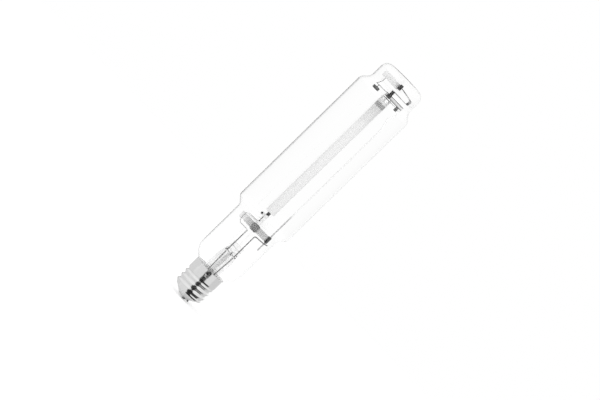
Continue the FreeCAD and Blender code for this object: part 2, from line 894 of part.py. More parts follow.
def make_arc_tube():
    bore = S.arc_radius - S.arc_wall
    height = S.arc_top_height - S.arc_foot_height
    publish("arc_tube", tube("arc_tube", S.arc_radius, bore, height, x=S.arc_x, z=S.arc_foot_height))
    plug_feet = {
        "lower_plug": S.arc_foot_height + S.plug_recess,
        "upper_plug": S.arc_top_height - S.plug_recess - S.plug_height,
    }
    for name, foot in plug_feet.items():
        publish(name, tube(name, bore, S.end_tube_radius, S.plug_height, x=S.arc_x, z=foot))
    shield_radius = S.arc_radius + S.shield_wall
    shield_foot = S.arc_top_height - S.shield_height
    band = cylinder("shield_outside", shield_radius, S.shield_height, x=S.arc_x, z=shield_foot)
    bind(band, Angle=S.shield_wrap_angle)
    band.Placement.Rotation = FreeCAD.Rotation(UP, float(S.shield_seam_angle))
    core = cylinder("shield_bore", S.arc_radius, S.shield_height, x=S.arc_x, z=shield_foot)
    publish("heat_shield", cut("heat_shield", band, core))


def make_end_tube(name, outer_end, inner_end, inward):
    """A metal tube through a plug, shut outside and closed on the electrode inside. inward is 1 or -1."""
    bore = S.end_tube_radius - S.end_tube_wall
    floor = S.end_tube_floor * inward
    body = turned_body(name, [
        (0, outer_end),
        (S.end_tube_radius, outer_end),
        (S.end_tube_radius, inner_end),
        (S.electrode_radius, inner_end),
        (S.electrode_radius, inner_end - floor),
        (bore, inner_end - floor),
        (bore, outer_end + floor),
        (0, outer_end + floor),
    ])
    place(body, x=S.arc_x)
    publish(name, body)


def make_electrode(name, rod_root, inward):
    """A rod from inside the end tube to its tip in the arc tube, with a coil. inward is 1 or -1."""
    low = rod_root if inward > 0 else rod_root - S.electrode_reach
    rod = cylinder(name + "_rod", S.electrode_radius, S.electrode_reach, x=S.arc_x, z=low)
    publish(name + "_rod", rod)
    tip = rod_root + S.electrode_reach * inward
    coil_foot = tip - S.coil_inset * inward
    if inward > 0:
        coil_foot = coil_foot - S.coil_height
    coil_radius = float(S.electrode_radius + S.coil_wire_radius)
    helix = Part.makeHelix(float(S.coil_pitch), float(S.coil_height), coil_radius)
    circle = Part.makeCircle(float(S.coil_wire_radius), Vector(coil_radius, 0, 0), Vector(0, 1, 0))
    section = Part.Wire(circle)
    coil = solid_feature(name + "_coil", Part.Wire(helix.Edges).makePipeShell([section], True, True))
    publish(name + "_coil", place(coil, x=S.arc_x, z=coil_foot))


def make_arc_tube_ends():
    lower_inner = S.arc_foot_height + S.end_tube_inside
    upper_inner = S.arc_top_height - S.end_tube_inside
    make_end_tube("lower_end_tube", S.lower_end_tube_foot, lower_inner, 1)
    make_end_tube("upper_end_tube", S.upper_end_tube_top, upper_inner, -1)
    make_electrode("lower_electrode", lower_inner - S.end_tube_floor * 2, 1)
    make_electrode("upper_electrode", upper_inner + S.end_tube_floor * 2, -1)


def make_lower_tab():
    """A band on the lower end tube with an ear that the return wire is welded to."""
    band_radius = S.end_tube_radius + S.tab_thickness
    band = tube("tab_band", band_radius, S.end_tube_radius, S.tab_height, x=S.arc_x, z=S.tab_foot_height)
    ear_front = return_plane() + S.return_radius
    ear = box("tab_ear", S.tab_reach - S.end_tube_radius, S.tab_thickness, S.tab_height,
              S.arc_x - S.tab_reach, ear_front, S.tab_foot_height)
    joined = doc.addObject("Part::Fuse", "tab_joined")
    joined.Base = band
    joined.Tool = ear
    core = cylinder("tab_core", S.end_tube_radius, S.tab_height, x=S.arc_x, z=S.tab_foot_height)
    publish("lower_weld_tab", cut("lower_weld_tab", joined, core))


# Head of the frame, in the dome


def make_cross_strap():
    """A channel open to the front, with a hole in each flange for the upper end tube."""
    length = S.strap_right_x - S.strap_left_x
    depth = S.strap_back_y - S.strap_front_y
    bar = box("strap_bar", length, depth, S.strap_height,
              S.strap_left_x, S.strap_front_y, S.strap_foot_height)
    hollow = box("strap_hollow", length, depth - S.strip_thickness, S.strap_height - S.strap_flange * 2,
                 S.strap_left_x, S.strap_front_y, S.strap_foot_height + S.strap_flange)
    hole = cylinder("strap_hole", S.end_tube_radius, S.strap_height, x=S.arc_x, z=S.strap_foot_height)
    publish("upper_cross_strap", cut("upper_cross_strap", cut("strap_channel", bar, hollow), hole))


def make_rod_tab(rod):
    """A block under the strap's lower flange that takes the rod's end."""
    foot = S.rod_end_height - S.rod_tab_drop
    block = box("rod_tab_block", S.rod_tab_width, S.rod_tab_depth, S.strap_foot_height - foot,
                S.rod_end_x - S.rod_tab_overhang, rod_depth() - S.rod_tab_depth / 2, foot)
    publish("rod_tab", cut("rod_tab", block, rod))


def make_getter():
    arm = box("getter_arm", S.arm_right_x - S.arm_left_x, S.arm_thickness, S.arm_height,
              S.arm_left_x, S.strap_back_y, S.arm_foot_height)
    publish("getter_arm", arm)
    inner = S.getter_radius - S.getter_width
    wall = S.getter_floor
    ring = turned_body("getter_ring", [
        (inner, 0),
        (S.getter_radius, 0),
        (S.getter_radius, S.getter_height),
        (S.getter_radius - wall, S.getter_height),
        (S.getter_radius - wall, wall),
        (inner + wall, wall),
        (inner + wall, S.getter_height),
        (inner, S.getter_height),
    ])
    ring.Placement = FreeCAD.Placement(Vector(), FreeCAD.Rotation(Vector(1, 0, 0), float(S.getter_tilt)))
    place(ring, x=S.getter_x, z=S.getter_level)
    publish("getter_ring", ring)
    wire_depth = S.strap_back_y - S.getter_wire_radius
    rise = S.arm_foot_height + S.arm_height - S.getter_level
    hanger = cylinder("getter_hanger", S.getter_wire_radius, rise,
                      x=S.getter_x, y=wire_depth, z=S.getter_level)
    publish("getter_wire", cut("getter_wire", hanger, ring))


def upright_plane(angle, x):
    """Places a flat outline so that its x runs out at an angle about +Z and its y runs up."""
    stand = FreeCAD.Rotation(Vector(1, 0, 0), 90)
    swing = FreeCAD.Rotation(UP, angle)
    return FreeCAD.Placement(Vector(x, 0, 0), swing.multiply(stand))


def reach_to_glass(x, angle):
    """Distance from a point on the X axis to the dome's inside along an angle, less the springs' gap."""
    inside = float(S.dome_radius - S.glass_wall - S.spring_gap)
    across = x * math.sin(math.radians(angle))
    along = x * math.cos(math.radians(angle))
    return math.sqrt(inside ** 2 - across ** 2) - along


def make_spring_pin():
    pin = cylinder("spring_pin", S.pin_radius, S.pin_height, x=S.pin_x, z=S.pin_foot_height)
    return publish("spring_pin", pin)


def make_right_spring(pin):
    """A leaf from the upper end tube out to the glass and back over itself to the pin."""
    angle = float(S.right_spring_angle)
    start_x = float(S.arc_x)
    half = float(S.right_spring_thickness) / 2
    level = float(S.upper_end_tube_top) + half
    turn = float(S.right_spring_turn)
    half_width = float(S.right_spring_width) / 2
    glass = float(S.dome_radius - S.glass_wall - S.spring_gap)
    reach = reach_to_glass(start_x, angle) - (glass - math.sqrt(glass ** 2 - half_width ** 2)) - half
    upper = level + 2 * turn
    pin_reach = (float(S.pin_x) - start_x) * math.cos(math.radians(angle))
    end_height = float(S.pin_foot_height) + float(S.pin_height) / 2
    points = [
        Vector(-float(S.end_tube_radius), level, 0),
        Vector(reach, level, 0),
        Vector(reach, upper, 0),
        Vector(pin_reach + 2 * turn, end_height, 0),
        Vector(pin_reach, end_height, 0),
    ]
    placement = upright_plane(angle, start_x)
    placement.Base += placement.Rotation.multVec(Vector(0, 0, -half_width))
    bends = [turn, S.right_spring_return_turn, turn]
    leaf = strip("right_leaf", points, bends, S.right_spring_thickness, S.right_spring_width, placement)
    publish("right_spring", cut("right_spring", leaf, pin))


def left_spring_frame():
    return FreeCAD.Placement(Vector(float(S.pin_x), 0, float(S.left_spring_foot)),
                             FreeCAD.Rotation(UP, float(S.left_spring_angle)))


def make_left_spring():
    """A band on edge from the pin out to the glass, turned back at its end."""
    half = float(S.spring_thickness) / 2
    turn = float(S.left_spring_turn)
    behind_pin = -float(S.pin_radius) - half
    reach = reach_to_glass(float(S.pin_x), float(S.left_spring_angle)) - half
    points = [
        Vector(float(S.left_spring_start), behind_pin, 0),
        Vector(reach, behind_pin, 0),
        Vector(reach, behind_pin + 2 * turn, 0),
        Vector(reach - float(S.left_spring_return), behind_pin + 2 * turn, 0),
    ]
    publish("left_spring", strip(
        "left_spring", points, [turn, turn], S.spring_thickness, S.left_spring_width, left_spring_frame()))


def make_left_stay():
    """A wire from the arm of the getter up to the left spring's inner face."""
    half = float(S.spring_thickness) / 2
    inner_face = float(S.stay_radius) - float(S.pin_radius)
    reach = reach_to_glass(float(S.pin_x), float(S.left_spring_angle)) - half - float(S.stay_from_glass)
    top = float(S.left_spring_width - S.stay_top_inset)
    high = left_spring_frame().multVec(Vector(reach, inner_face, top))
    arm_front = float(S.strap_back_y) - float(S.stay_radius)
    foot_x = float(S.arm_left_x + S.stay_radius + S.stay_inset)
    arm_foot = float(S.arm_foot_height)
    publish("left_stay", wire("left_stay", S.stay_radius, [
        Vector(foot_x, arm_front, arm_foot),
        Vector(foot_x, arm_front, arm_foot + float(S.arm_height)),
        Vector(high.x, high.y, float(S.left_spring_foot - S.stay_bend_drop)),
        high,
    ], [S.stay_foot_bend, S.stay_top_bend]))


def make_all():
    left_lead = make_left_lead()
    right_lead = make_right_lead()
    bulb_outside = make_outer_bulb()
    make_stem(left_lead, right_lead)
    make_cap_shell()
    make_insulator()
    make_centre_contact()
    make_contact_solder(left_lead)
    make_basing_cement(bulb_outside, right_lead)
    rod = make_side_rod()
    make_return_wire()
    make_bridge()
    make_arc_tube()
    make_arc_tube_ends()
    make_lower_tab()
    make_cross_strap()
    make_rod_tab(rod)
    make_getter()
    pin = make_spring_pin()
    make_right_spring(pin)
    make_left_spring()
    make_left_stay()


def check_document():
    doc.recompute()
    for item in doc.Objects:
        if "Invalid" in item.State or "Error" in item.State:
            raise RuntimeError("the document object " + item.Label + " failed to recompute")
    for name, item in parts.items():
        shape = item.Shape
        if shape.isNull() or not shape.isValid() or not shape.Solids or shape.Volume <= 0:
            raise RuntimeError("the sub-part " + name + " has no sound solid")


def export_parts():
    os.makedirs("parts", exist_ok=True)
    for name, item in parts.items():
        item.Shape.exportStep("parts/" + name + ".step")


make_all()
check_document()
export_parts()
for name, item in parts.items():
    bounds = item.Shape.BoundBox
    low = [round(value, 2) for value in (bounds.XMin, bounds.YMin, bounds.ZMin)]
    high = [round(value, 2) for value in (bounds.XMax, bounds.YMax, bounds.ZMax)]
    print(name, len(item.Shape.Solids), "solid", round(item.Shape.Volume, 1), "mm3", low, high)
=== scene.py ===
"""A tubular high pressure sodium lamp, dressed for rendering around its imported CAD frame.

Lengths are in millimetres unless a docstring says otherwise, and meshes are made in metres. The lamp stands
on its centre contact along +Z, and its photographed side faces -Y.
"""
import logging
import math
from contextlib import contextmanager
from dataclasses import asdict, dataclass
from enum import Enum
from typing import Any, Callable, Iterable, Iterator, Sequence

import bmesh
import bpy
import numpy as np
from mathutils import Matrix, Vector


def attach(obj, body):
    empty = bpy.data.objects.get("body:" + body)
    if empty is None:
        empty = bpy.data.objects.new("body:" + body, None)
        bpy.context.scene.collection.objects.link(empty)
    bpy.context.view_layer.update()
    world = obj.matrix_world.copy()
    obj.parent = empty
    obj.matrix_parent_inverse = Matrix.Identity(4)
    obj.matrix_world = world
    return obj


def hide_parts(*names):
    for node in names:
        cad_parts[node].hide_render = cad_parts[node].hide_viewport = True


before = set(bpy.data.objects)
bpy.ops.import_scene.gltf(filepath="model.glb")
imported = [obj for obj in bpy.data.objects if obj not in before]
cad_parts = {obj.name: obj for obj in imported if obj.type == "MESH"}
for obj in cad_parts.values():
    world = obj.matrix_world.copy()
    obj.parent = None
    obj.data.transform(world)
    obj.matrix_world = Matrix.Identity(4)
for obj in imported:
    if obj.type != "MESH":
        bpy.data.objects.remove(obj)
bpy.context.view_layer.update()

BODY = "root"
LOG = logging.getLogger("lamp")

MM = 0.001
FULL_TURN = 2 * math.pi
SAME_POINT = 1e-7
SAME_CORNER = 2e-6
ON_AXIS = 1e-6
FLAT_ANGLE = math.radians(0.5)
SHARP_ANGLE = math.radians(32)
EASED_ANGLE = math.radians(40)
EASED_STEPS = 2
BEND_STEPS = 10
WIRE_SIDES = 20
MARK_SIDES = 16
MARK_RINGS = 8

Point2 = tuple[float, float]
Point3 = tuple[float, float, float]
Line = tuple[Point2, ...]
Places = tuple[Point3, ...]
Colour = tuple[float, float, float, float]
Inputs = dict[str | int, Any]
Mesh = bpy.types.Mesh

FRONT: Point3 = (0.0, -1.0, 0.0)


class Slot(Enum):
    """The record's material slots."""

    CLEAR_GLASS = "clear_glass"
    STEM_GLASS = "stem_glass"
    CAP_METAL = "cap_metal"
    INSULATOR = "insulator_glass"
    CONTACT = "contact_metal"
    SOLDER = "solder"
    LEAD_WIRE = "lead_wire"
    ROD = "rod_metal"
    STRIP = "strip_metal"
    SPRING = "spring_metal"
    CERAMIC = "ceramic"
    ALUMINA = "alumina"
    NIOBIUM = "niobium"
    TUNGSTEN = "tungsten"
    GETTER = "getter_metal"


# Node trees


class Graph:
    """Adds nodes to a shader or geometry tree and joins them."""

    def __init__(self, tree: bpy.types.NodeTree) -> None:
        """Keeps the tree."""
        self.tree = tree

    def add(self, kind: str, inputs: Inputs | None = None, **settings: Any) -> bpy.types.Node:
        """Adds a node.

        Args:
            kind: The node's type name.
            inputs: Plain values or fields for its inputs, by name or place.
            settings: Properties of the node.

        Returns:
            The node.
        """
        node = self.tree.nodes.new(kind)
        for name, value in settings.items():
            setattr(node, name, value)
        for name, value in (inputs or {}).items():
            if isinstance(value, Field):
                self.tree.links.new(value.socket, node.inputs[name])
            else:
                node.inputs[name].default_value = value
        return node

    def field(self, kind: str, inputs: Inputs | None = None, output: str | int = 0,
              **settings: Any) -> "Field":
        """Adds a node and gives one of its outputs, by name or place."""
        return Field(self, self.add(kind, inputs, **settings).outputs[output])

    def fields(self, kind: str, inputs: Inputs | None = None) -> dict[str, "Field"]:
        """Adds a node and gives all its outputs by name."""
        return {socket.name: Field(self, socket) for socket in self.add(kind, inputs).outputs}

    def math(self, operation: str, *values: Any) -> "Field":
        """Adds a math node and gives its result."""
        return self.field("ShaderNodeMath", dict(enumerate(values)), operation=operation)

    def smooth_step(self, value: Any, low: Any, high: Any) -> "Field":
        """Runs a value smoothly from 0 at low to 1 at high."""
        return self.field("ShaderNodeMapRange", {"Value": value, "From Min": low, "From Max": high},
                          interpolation_type="SMOOTHSTEP")

    def combined(self, x: Any, y: Any, z: Any) -> "Field":
        """A vector of three parts."""
        return self.field("ShaderNodeCombineXYZ", {"X": x, "Y": y, "Z": z})


def operator(operation: str) -> "Callable[[Field, Any], Field]":
    """Makes the method that a field has for one of Python's operators."""
    return lambda field, other: field.graph.math(operation, field, other)


class Field:
    """A node's output, which joins others through Python's operators where it's a number."""

    def __init__(self, graph: Graph, socket: bpy.types.NodeSocket) -> None:
        """Keeps the graph and the output."""
        self.graph = graph
        self.socket = socket

    def __rsub__(self, other: Any) -> "Field":
        """The difference, taken from a plain number."""
        return self.graph.math("SUBTRACT", other, self)

    __add__ = operator("ADD")
    __sub__ = operator("SUBTRACT")
    __mul__ = operator("MULTIPLY")
    __truediv__ = operator("DIVIDE")


class ShaderGraph(Graph):
    """The tree of a material or a world."""

    def __init__(self, owner: bpy.types.Material | bpy.types.World) -> None:
        """Empties the owner's tree and keeps it.

        Args:
            owner: The material or the world.
        """
        owner.use_nodes = True
        owner.node_tree.nodes.clear()
        super().__init__(owner.node_tree)

    def place(self) -> Field:
        """The place on the piece's own coordinates, in metres."""
        return self.field("ShaderNodeTexCoord", output="Object")

    def seen_directly(self) -> Field:
        """Finds where the camera, a mirror or glass looks.

        Returns:
            1 there, and 0 where light is gathered.
        """
        path = self.fields("ShaderNodeLightPath")
        seen = self.math("MAXIMUM", path["Is Camera Ray"], path["Is Glossy Ray"])
        return self.math("MAXIMUM", seen, path["Is Transmission Ray"])

    def mirrored(self) -> Field:
        """1 where a mirror looks and 0 for what is seen through glass."""
        path = self.fields("ShaderNodeLightPath")
        return path["Is Glossy Ray"] * (1.0 - path["Is Transmission Ray"])

    def bearing(self, way: Field) -> Field:
        """The bearing of a direction or a place round the lamp, in degrees."""
        parts = self.fields("ShaderNodeSeparateXYZ", {0: way})
        return self.math("ARCTAN2", parts["X"], parts["Y"] * -1.0) * (180 / math.pi)


def grey(level: float) -> Colour:
    """A neutral colour, from 0 for black to 1 for white."""
    return (level, level, level, 1.0)


# Finishes


@dataclass(frozen=True)
class Grain:
    """Fine variation over a surface, from noise stretched along the piece.

    The scale is in features per metre across the grain. The stretch multiplies it along each axis.
    """

    scale: float = 400.0
    stretch: Point3 = (1.0, 1.0, 1.0)
    colour_swing: float = 0.1
    roughness_swing: float = 0.1
    bump: float = 0.01
    detail: float = 4.0
    fineness: float = 0.6


@dataclass(frozen=True)
class Finish:
    """A neutral surface finish that a principled shader can show. Its level is its grey."""

    name: str
    roughness: float
    level: float = 1.0
    metallic: float = 0.0
    transmission: float = 0.0
    alpha: float = 1.0
    ior: float = 1.45
    coat: float = 0.0
    coat_roughness: float = 0.05
    grain: Grain = Grain()

    def material(self) -> bpy.types.Material:
        """Makes the material, or finds it where it's made already.

        Returns:
            The material.
        """
        known = bpy.data.materials.get(self.name)
        if known:
            return known
        made = bpy.data.materials.new(self.name)
        graph = ShaderGraph(made)
        shader = graph.field("ShaderNodeBsdfPrincipled", {
            "Metallic": self.metallic,
            "IOR": self.ior,
            "Alpha": self.alpha,
            "Transmission Weight": self.transmission,
            "Coat Weight": self.coat,
            "Coat Roughness": self.coat_roughness,
            **self.dressing(graph, self.noise(graph)),
        })
        graph.add("ShaderNodeOutputMaterial", {"Surface": self.surface(graph, shader)})
        return made

    def surface(self, graph: ShaderGraph, shader: Field) -> Field:
        """What goes to the material's surface."""
        return shader

    def noise(self, graph: ShaderGraph) -> Field:
        """A noise field between 0 and 1 on the piece's own coordinates.

        Args:
            graph: The material's tree.

        Returns:
            The field.
        """
        stretched = graph.field("ShaderNodeMapping", {"Vector": graph.place(), "Scale": self.grain.stretch})
        return graph.field("ShaderNodeTexNoise", {
            "Vector": stretched,
            "Scale": self.grain.scale,
            "Detail": self.grain.detail,
            "Roughness": self.grain.fineness,
        })

    def colour(self, graph: ShaderGraph, noise: Field) -> Field:
        """The base colour with the grain's light and dark.

        Args:
            graph: The material's tree.
            noise: The grain.

        Returns:
            The colour.
        """
        swing = self.grain.colour_swing
        return graph.field("ShaderNodeMix", {
            "Factor": noise,
            6: grey(self.level * (1 - swing)),
            7: grey(min(1.0, self.level * (1 + swing))),
        }, output=2, data_type="RGBA")

    def relief(self, graph: ShaderGraph, noise: Field) -> Field:
        """The normal that the grain's bumps give."""
        return graph.field("ShaderNodeBump", {"Height": noise, "Distance": self.grain.bump * MM})

    def dressing(self, graph: ShaderGraph, noise: Field) -> Inputs:
        """The shader's inputs that the grain takes part in.

        Args:
            graph: The material's tree.
            noise: The grain.

        Returns:
            The inputs by name.
        """
        swing = self.grain.roughness_swing
        inputs: Inputs = {
            "Base Color": self.colour(graph, noise),
            "Roughness": noise * swing + (self.roughness - swing / 2),
        }
        if self.grain.bump:
            inputs["Normal"] = self.relief(graph, noise)
        return inputs


@dataclass(frozen=True)
class ClearGlass(Finish):
    """Blown glass: an even colour and a slow waviness."""

    def dressing(self, graph: ShaderGraph, noise: Field) -> Inputs:
        """The plain colour and roughness, and the waviness."""
        normal = self.relief(graph, noise)
        return {"Base Color": grey(self.level), "Roughness": self.roughness, "Normal": normal}

    def surface(self, graph: ShaderGraph, shader: Field) -> Field:
        """Lets soft light and shadow rays through unbent, so that what is inside is lit as outside.

        Args:
            graph: The material's tree.
            shader: The glass.

        Returns:
            The mixed surface.
        """
        path = graph.fields("ShaderNodeLightPath")
        lighting = graph.math("MAXIMUM", path["Is Shadow Ray"], path["Is Diffuse Ray"])
        clear = graph.field("ShaderNodeBsdfTransparent")
        return graph.field("ShaderNodeMixShader", {0: lighting, 1: shader, 2: clear})


@dataclass(frozen=True)
class Banded(Finish):
    """A finish whose grey changes along one axis of the lamp. On several pieces its stops paint light and
    shade, as their comments say.

    The stops are pairs of a place along the axis and the grey there.
    """

    axis: str = "Z"
    stops: Line = ((0.0, 0.2), (100.0, 0.8))

    def colour(self, graph: ShaderGraph, noise: Field) -> Field:
        """Runs through the stops, with the grain's light and dark over them.

        Args:
            graph: The material's tree.
            noise: The grain.

        Returns:
            The colour.
        """
        reach = graph.field("ShaderNodeSeparateXYZ", {0: graph.place()}, self.axis)
        first, last = self.stops[0][0], self.stops[-1][0]
        ramp = graph.add("ShaderNodeValToRGB", {0: (reach / MM - first) / (last - first)})
        elements = ramp.color_ramp.elements
        while len(elements) < len(self.stops):
            elements.new(0.5)
        for element, (at, level) in zip(elements, self.stops):
            element.position = (at - first) / (last - first)
            element.color = grey(level)
        swing = self.grain.colour_swing
        return Field(graph, ramp.outputs[0]) * (noise * (2 * swing) + (1 - swing))


FINE = Grain(scale=900.0)
MEDIUM = Grain(scale=600.0)
DRAWN = Grain(scale=900.0, stretch=(1.0, 1.0, 0.1))
ROLLED = Grain(scale=500.0, stretch=(0.1, 1.0, 1.0), colour_swing=0.12)
SPRUNG = Grain(scale=500.0, stretch=(1.0, 1.0, 0.2), colour_swing=0.08)

BULB = ClearGlass("blown clear glass", 0.0, 1.0, transmission=1.0, ior=1.47,
                  grain=Grain(scale=30.0, bump=0.02, detail=1.0))
STEM = ClearGlass("pressed stem glass", 0.02, 0.9, transmission=1.0, ior=1.52,
                  grain=Grain(scale=150.0, bump=0.06, detail=2.0))
CAP = Finish("bright nickel plate", 0.16, 0.94, metallic=1.0,
             grain=Grain(scale=300.0, stretch=(1.0, 1.0, 4.0), colour_swing=0.05, bump=0.012))
INSULATOR = Finish("pale opaque glass", 0.3, 0.95, coat=0.2, grain=Grain(scale=250.0, colour_swing=0.05))
CONTACT = Finish("tinned contact plate", 0.5, 0.93, metallic=0.4, grain=Grain(scale=800.0))
SOLDER = Finish("soft solder", 0.32, 0.85, metallic=1.0, grain=Grain(scale=900.0, bump=0.05))
# Near black, for the dots by the contact that paint its dark reflection.
PAINTED_REFLECTION = Finish("painted dark reflection", 0.5, 0.02, grain=FINE)
CEMENT = Finish("basing cement", 0.9, 0.8, grain=Grain(scale=1200.0, bump=0.04))
WIRE = Finish("drawn nickel wire", 0.35, 0.22, metallic=1.0, grain=DRAWN)
THIN_WIRE = Finish("bright thin wire", 0.35, 0.5, metallic=1.0, grain=DRAWN)
# Painted highlight: nearly white above 154 mm, where the rod shows blown out; darker below.
ROD = Banded(
    "frame rod", 0.25, metallic=1.0, grain=Grain(scale=900.0, stretch=(1.0, 1.0, 0.1), colour_swing=0.04),
    stops=((96.0, 0.42), (144.0, 0.5), (154.0, 0.93), (320.0, 0.95)))
# Painted light and shade across the strip: paler on the left, darkest in the middle round the bush, mid grey
# on the right, and black where it meets the ferrule.
STRIP = Banded(
    "rolled strip with painted light and shade", 0.38, metallic=1.0, grain=ROLLED, axis="X",
    stops=((-21.0, 0.78), (-14.0, 0.76), (-12.0, 0.58), (-5.0, 0.46), (-2.0, 0.2), (4.0, 0.18), (7.0, 0.5),
           (18.0, 0.52), (19.4, 0.005), (23.5, 0.005)))
# Near black all over: painted shade where the strip wraps the rod.
FERRULE_PAINTED_SHADE = Finish("ferrule painted black as shade", 0.6, 0.01, grain=FINE)
# Painted shade: near black on the flanges' front edges, at y below -2.3 mm; white behind.
HEAD_STRIP_PAINTED_SHADE = Banded(
    "folded head strip with painted shade", 0.45, grain=ROLLED, axis="Y",
    stops=((-3.2, 0.01), (-2.5, 0.02), (-2.3, 0.95), (3.0, 0.96)))
TAB_BLOCK = Finish("oxidised tab", 0.5, 0.04, grain=FINE)
ARM = Finish("bright flat strip", 0.35, 0.4, metallic=1.0, grain=MEDIUM)
SPRING = Banded(
    "sprung strip", 0.3, metallic=1.0, grain=SPRUNG, axis="X",
    stops=((-3.0, 0.6), (0.4, 0.55), (1.2, 0.01), (7.0, 0.02), (12.0, 0.12), (14.0, 0.4), (24.0, 0.4)))
BAND = Finish("sprung band", 0.42, 0.86, metallic=0.3, grain=SPRUNG)
CERAMIC = Finish("grey ceramic", 0.55, 0.2, grain=Grain(scale=900.0, colour_swing=0.08))
# Greyer from 272 mm up: the painted shadow of the upper electrode seen through the ceramic; a little greyer
# at the foot too.
ALUMINA = Banded(
    "translucent alumina with painted electrode shadow", 0.35, alpha=0.93, grain=Grain(scale=350.0, colour_swing=0.02, bump=0.0),
    stops=((135.0, 0.9), (142.0, 0.95), (272.0, 0.95), (292.0, 0.8), (300.0, 0.72), (314.0, 0.8)))
NIOBIUM = Banded(
    "drawn niobium", 0.42, metallic=1.0, grain=MEDIUM,
    stops=((112.0, 0.92), (129.8, 0.92), (130.6, 0.01), (134.4, 0.01), (135.6, 0.6), (141.5, 0.6)))
TAB = Finish("pale weld tab", 0.4, 0.78, metallic=1.0, grain=MEDIUM)
DARK_METAL = Finish("blackened metal", 0.5, 0.01, grain=MEDIUM)
FOIL = Banded(
    "wrapped foil", 0.42, metallic=1.0, grain=Grain(scale=300.0, stretch=(2.0, 2.0, 0.4), bump=0.03),
    stops=((300.6, 0.34), (305.4, 0.38), (306.0, 0.7), (314.0, 0.72)))
TUNGSTEN = Finish("drawn tungsten", 0.4, 0.2, metallic=1.0, grain=FINE)
GETTER = Finish("getter channel", 0.5, 0.07, metallic=1.0, grain=FINE)


# Meshes


def new_mesh(name: str, points: Iterable[Sequence[float]], edges: Sequence[Sequence[int]] = (),
             faces: Sequence[Sequence[int]] = ()) -> Mesh:
    """Makes a mesh in metres.

    Args:
        name: Its name.
        points: Its points in millimetres.
        edges: Pairs of points, by number.
        faces: Rings of points, by number.

    Returns:
        The mesh.
    """
    mesh = bpy.data.meshes.new(name)
    mesh.from_pydata([tuple(value * MM for value in point) for point in points], edges, faces)
    return mesh


@contextmanager
def edited(mesh: Mesh) -> Iterator[bmesh.types.BMesh]:
    """Opens a mesh for editing and writes it back.

    Args:
        mesh: The mesh.

    Yields:
        Its editable form.
    """
    form = bmesh.new()
    form.from_mesh(mesh)
    yield form
    form.to_mesh(mesh)
    form.free()


def face_outwards(mesh: Mesh) -> None:
    """Merges a closed mesh and turns it right side out.

    Args:
        mesh: The mesh.
    """
    with edited(mesh) as form:
        bmesh.ops.remove_doubles(form, verts=form.verts, dist=SAME_POINT)
        bmesh.ops.recalc_face_normals(form, faces=form.faces)
        if form.calc_volume(signed=True) < 0:
            bmesh.ops.reverse_faces(form, faces=form.faces)


def ring_faces(rings: Sequence[Sequence[int]]) -> list[list[int]]:
    """Joins rings of equally many points with faces. A ring of one repeated point is a pole.

    Args:
        rings: The points of each ring, by number.

    Returns:
        The faces.
    """
    faces = []
    for low, high in zip(rings, rings[1:]):
        for number in range(len(low)):
            after = (number + 1) % len(low)
            corners = list(dict.fromkeys([low[number], low[after], high[after], high[number]]))
            if len(corners) > 2:
                faces.append(corners)
    return faces


def lathe(line: Sequence[Point2], segments: int, closed: bool = False) -> Mesh:
    """Turns a line of (radius, height) points about +Z.

    Args:
        line: The points. A first or last point on the axis becomes a pole.
        segments: Faces round the axis.
        closed: Whether the last point joins the first.

    Returns:
        The mesh, closed and facing outwards.
    """
    angles = [FULL_TURN * number / segments for number in range(segments)]
    points: list[Point3] = []
    rings: list[list[int]] = []
    for radius, height in line:
        first = len(points)
        if radius < ON_AXIS:
            points.append((0.0, 0.0, height))
            rings.append([first] * segments)
        else:
            points += [(radius * math.cos(angle), radius * math.sin(angle), height) for angle in angles]
            rings.append(list(range(first, first + segments)))
    if closed:
        rings.append(rings[0])
    mesh = new_mesh("turned", points, faces=ring_faces(rings))
    face_outwards(mesh)
    return mesh


@dataclass(frozen=True)
class Profile:
    """A line of (radius, height) corners, with a rounding for each inner corner or 0 to leave it sharp."""

    corners: Line
    roundings: tuple[float, ...]
    steps: int = 12

    def arc(self, index: int, radius: float) -> list[Point2]:
        """The points that round one corner.

        Args:
            index: The corner's number.
            radius: Its rounding.

        Returns:
            The arc's points.
        """
        corner = Vector(self.corners[index])
        back = (Vector(self.corners[index - 1]) - corner).normalized()
        ahead = (Vector(self.corners[index + 1]) - corner).normalized()
        half = back.angle(ahead) / 2
        centre = corner + (back + ahead).normalized() * (radius / math.sin(half))
        start = corner + back * (radius / math.tan(half)) - centre
        end = corner + ahead * (radius / math.tan(half)) - centre
        sweep = start.angle_signed(end)
        return [tuple(centre + Matrix.Rotation(-sweep * step / self.steps, 2) @ start)
                for step in range(self.steps + 1)]

    def line(self) -> list[Point2]:
        """The finer line with its corners rounded.

        Returns:
            Its points.
        """
        line = [self.corners[0]]
        for index, radius in enumerate(self.roundings, start=1):
            line += self.arc(index, radius) if radius else [self.corners[index]]
        return [*line, self.corners[-1]]

    def turned(self, segments: int) -> Mesh:
        """The closed ring that the profile makes about +Z, with its last point joined to its first."""
        return lathe(self.line(), segments, closed=True)


def inset_line(line: Sequence[Point2], distance: float, least_radius: float) -> list[Point2]:
    """Moves a fine line of (radius, height) points to its left, square to its run.

    Args:
        line: The points.
        distance: How far they move.
        least_radius: What a point that would come nearer to the axis gets for its radius.

    Returns:
        The moved points.
    """
    places = np.array(line, float)
    along = np.gradient(places, axis=0)
    along /= np.linalg.norm(along, axis=1)[:, None]
    moved = places + distance * np.column_stack([-along[:, 1], along[:, 0]])
    return [(max(radius, least_radius), height) for radius, height in moved.tolist()]


def shift(mesh: Mesh, place: Point3, turn: Matrix | None = None) -> Mesh:
    """Turns a mesh about the origin, then moves it."""
    mesh.transform(Matrix.Translation(Vector(place) * MM) @ (turn or Matrix()).to_4x4())
    return mesh


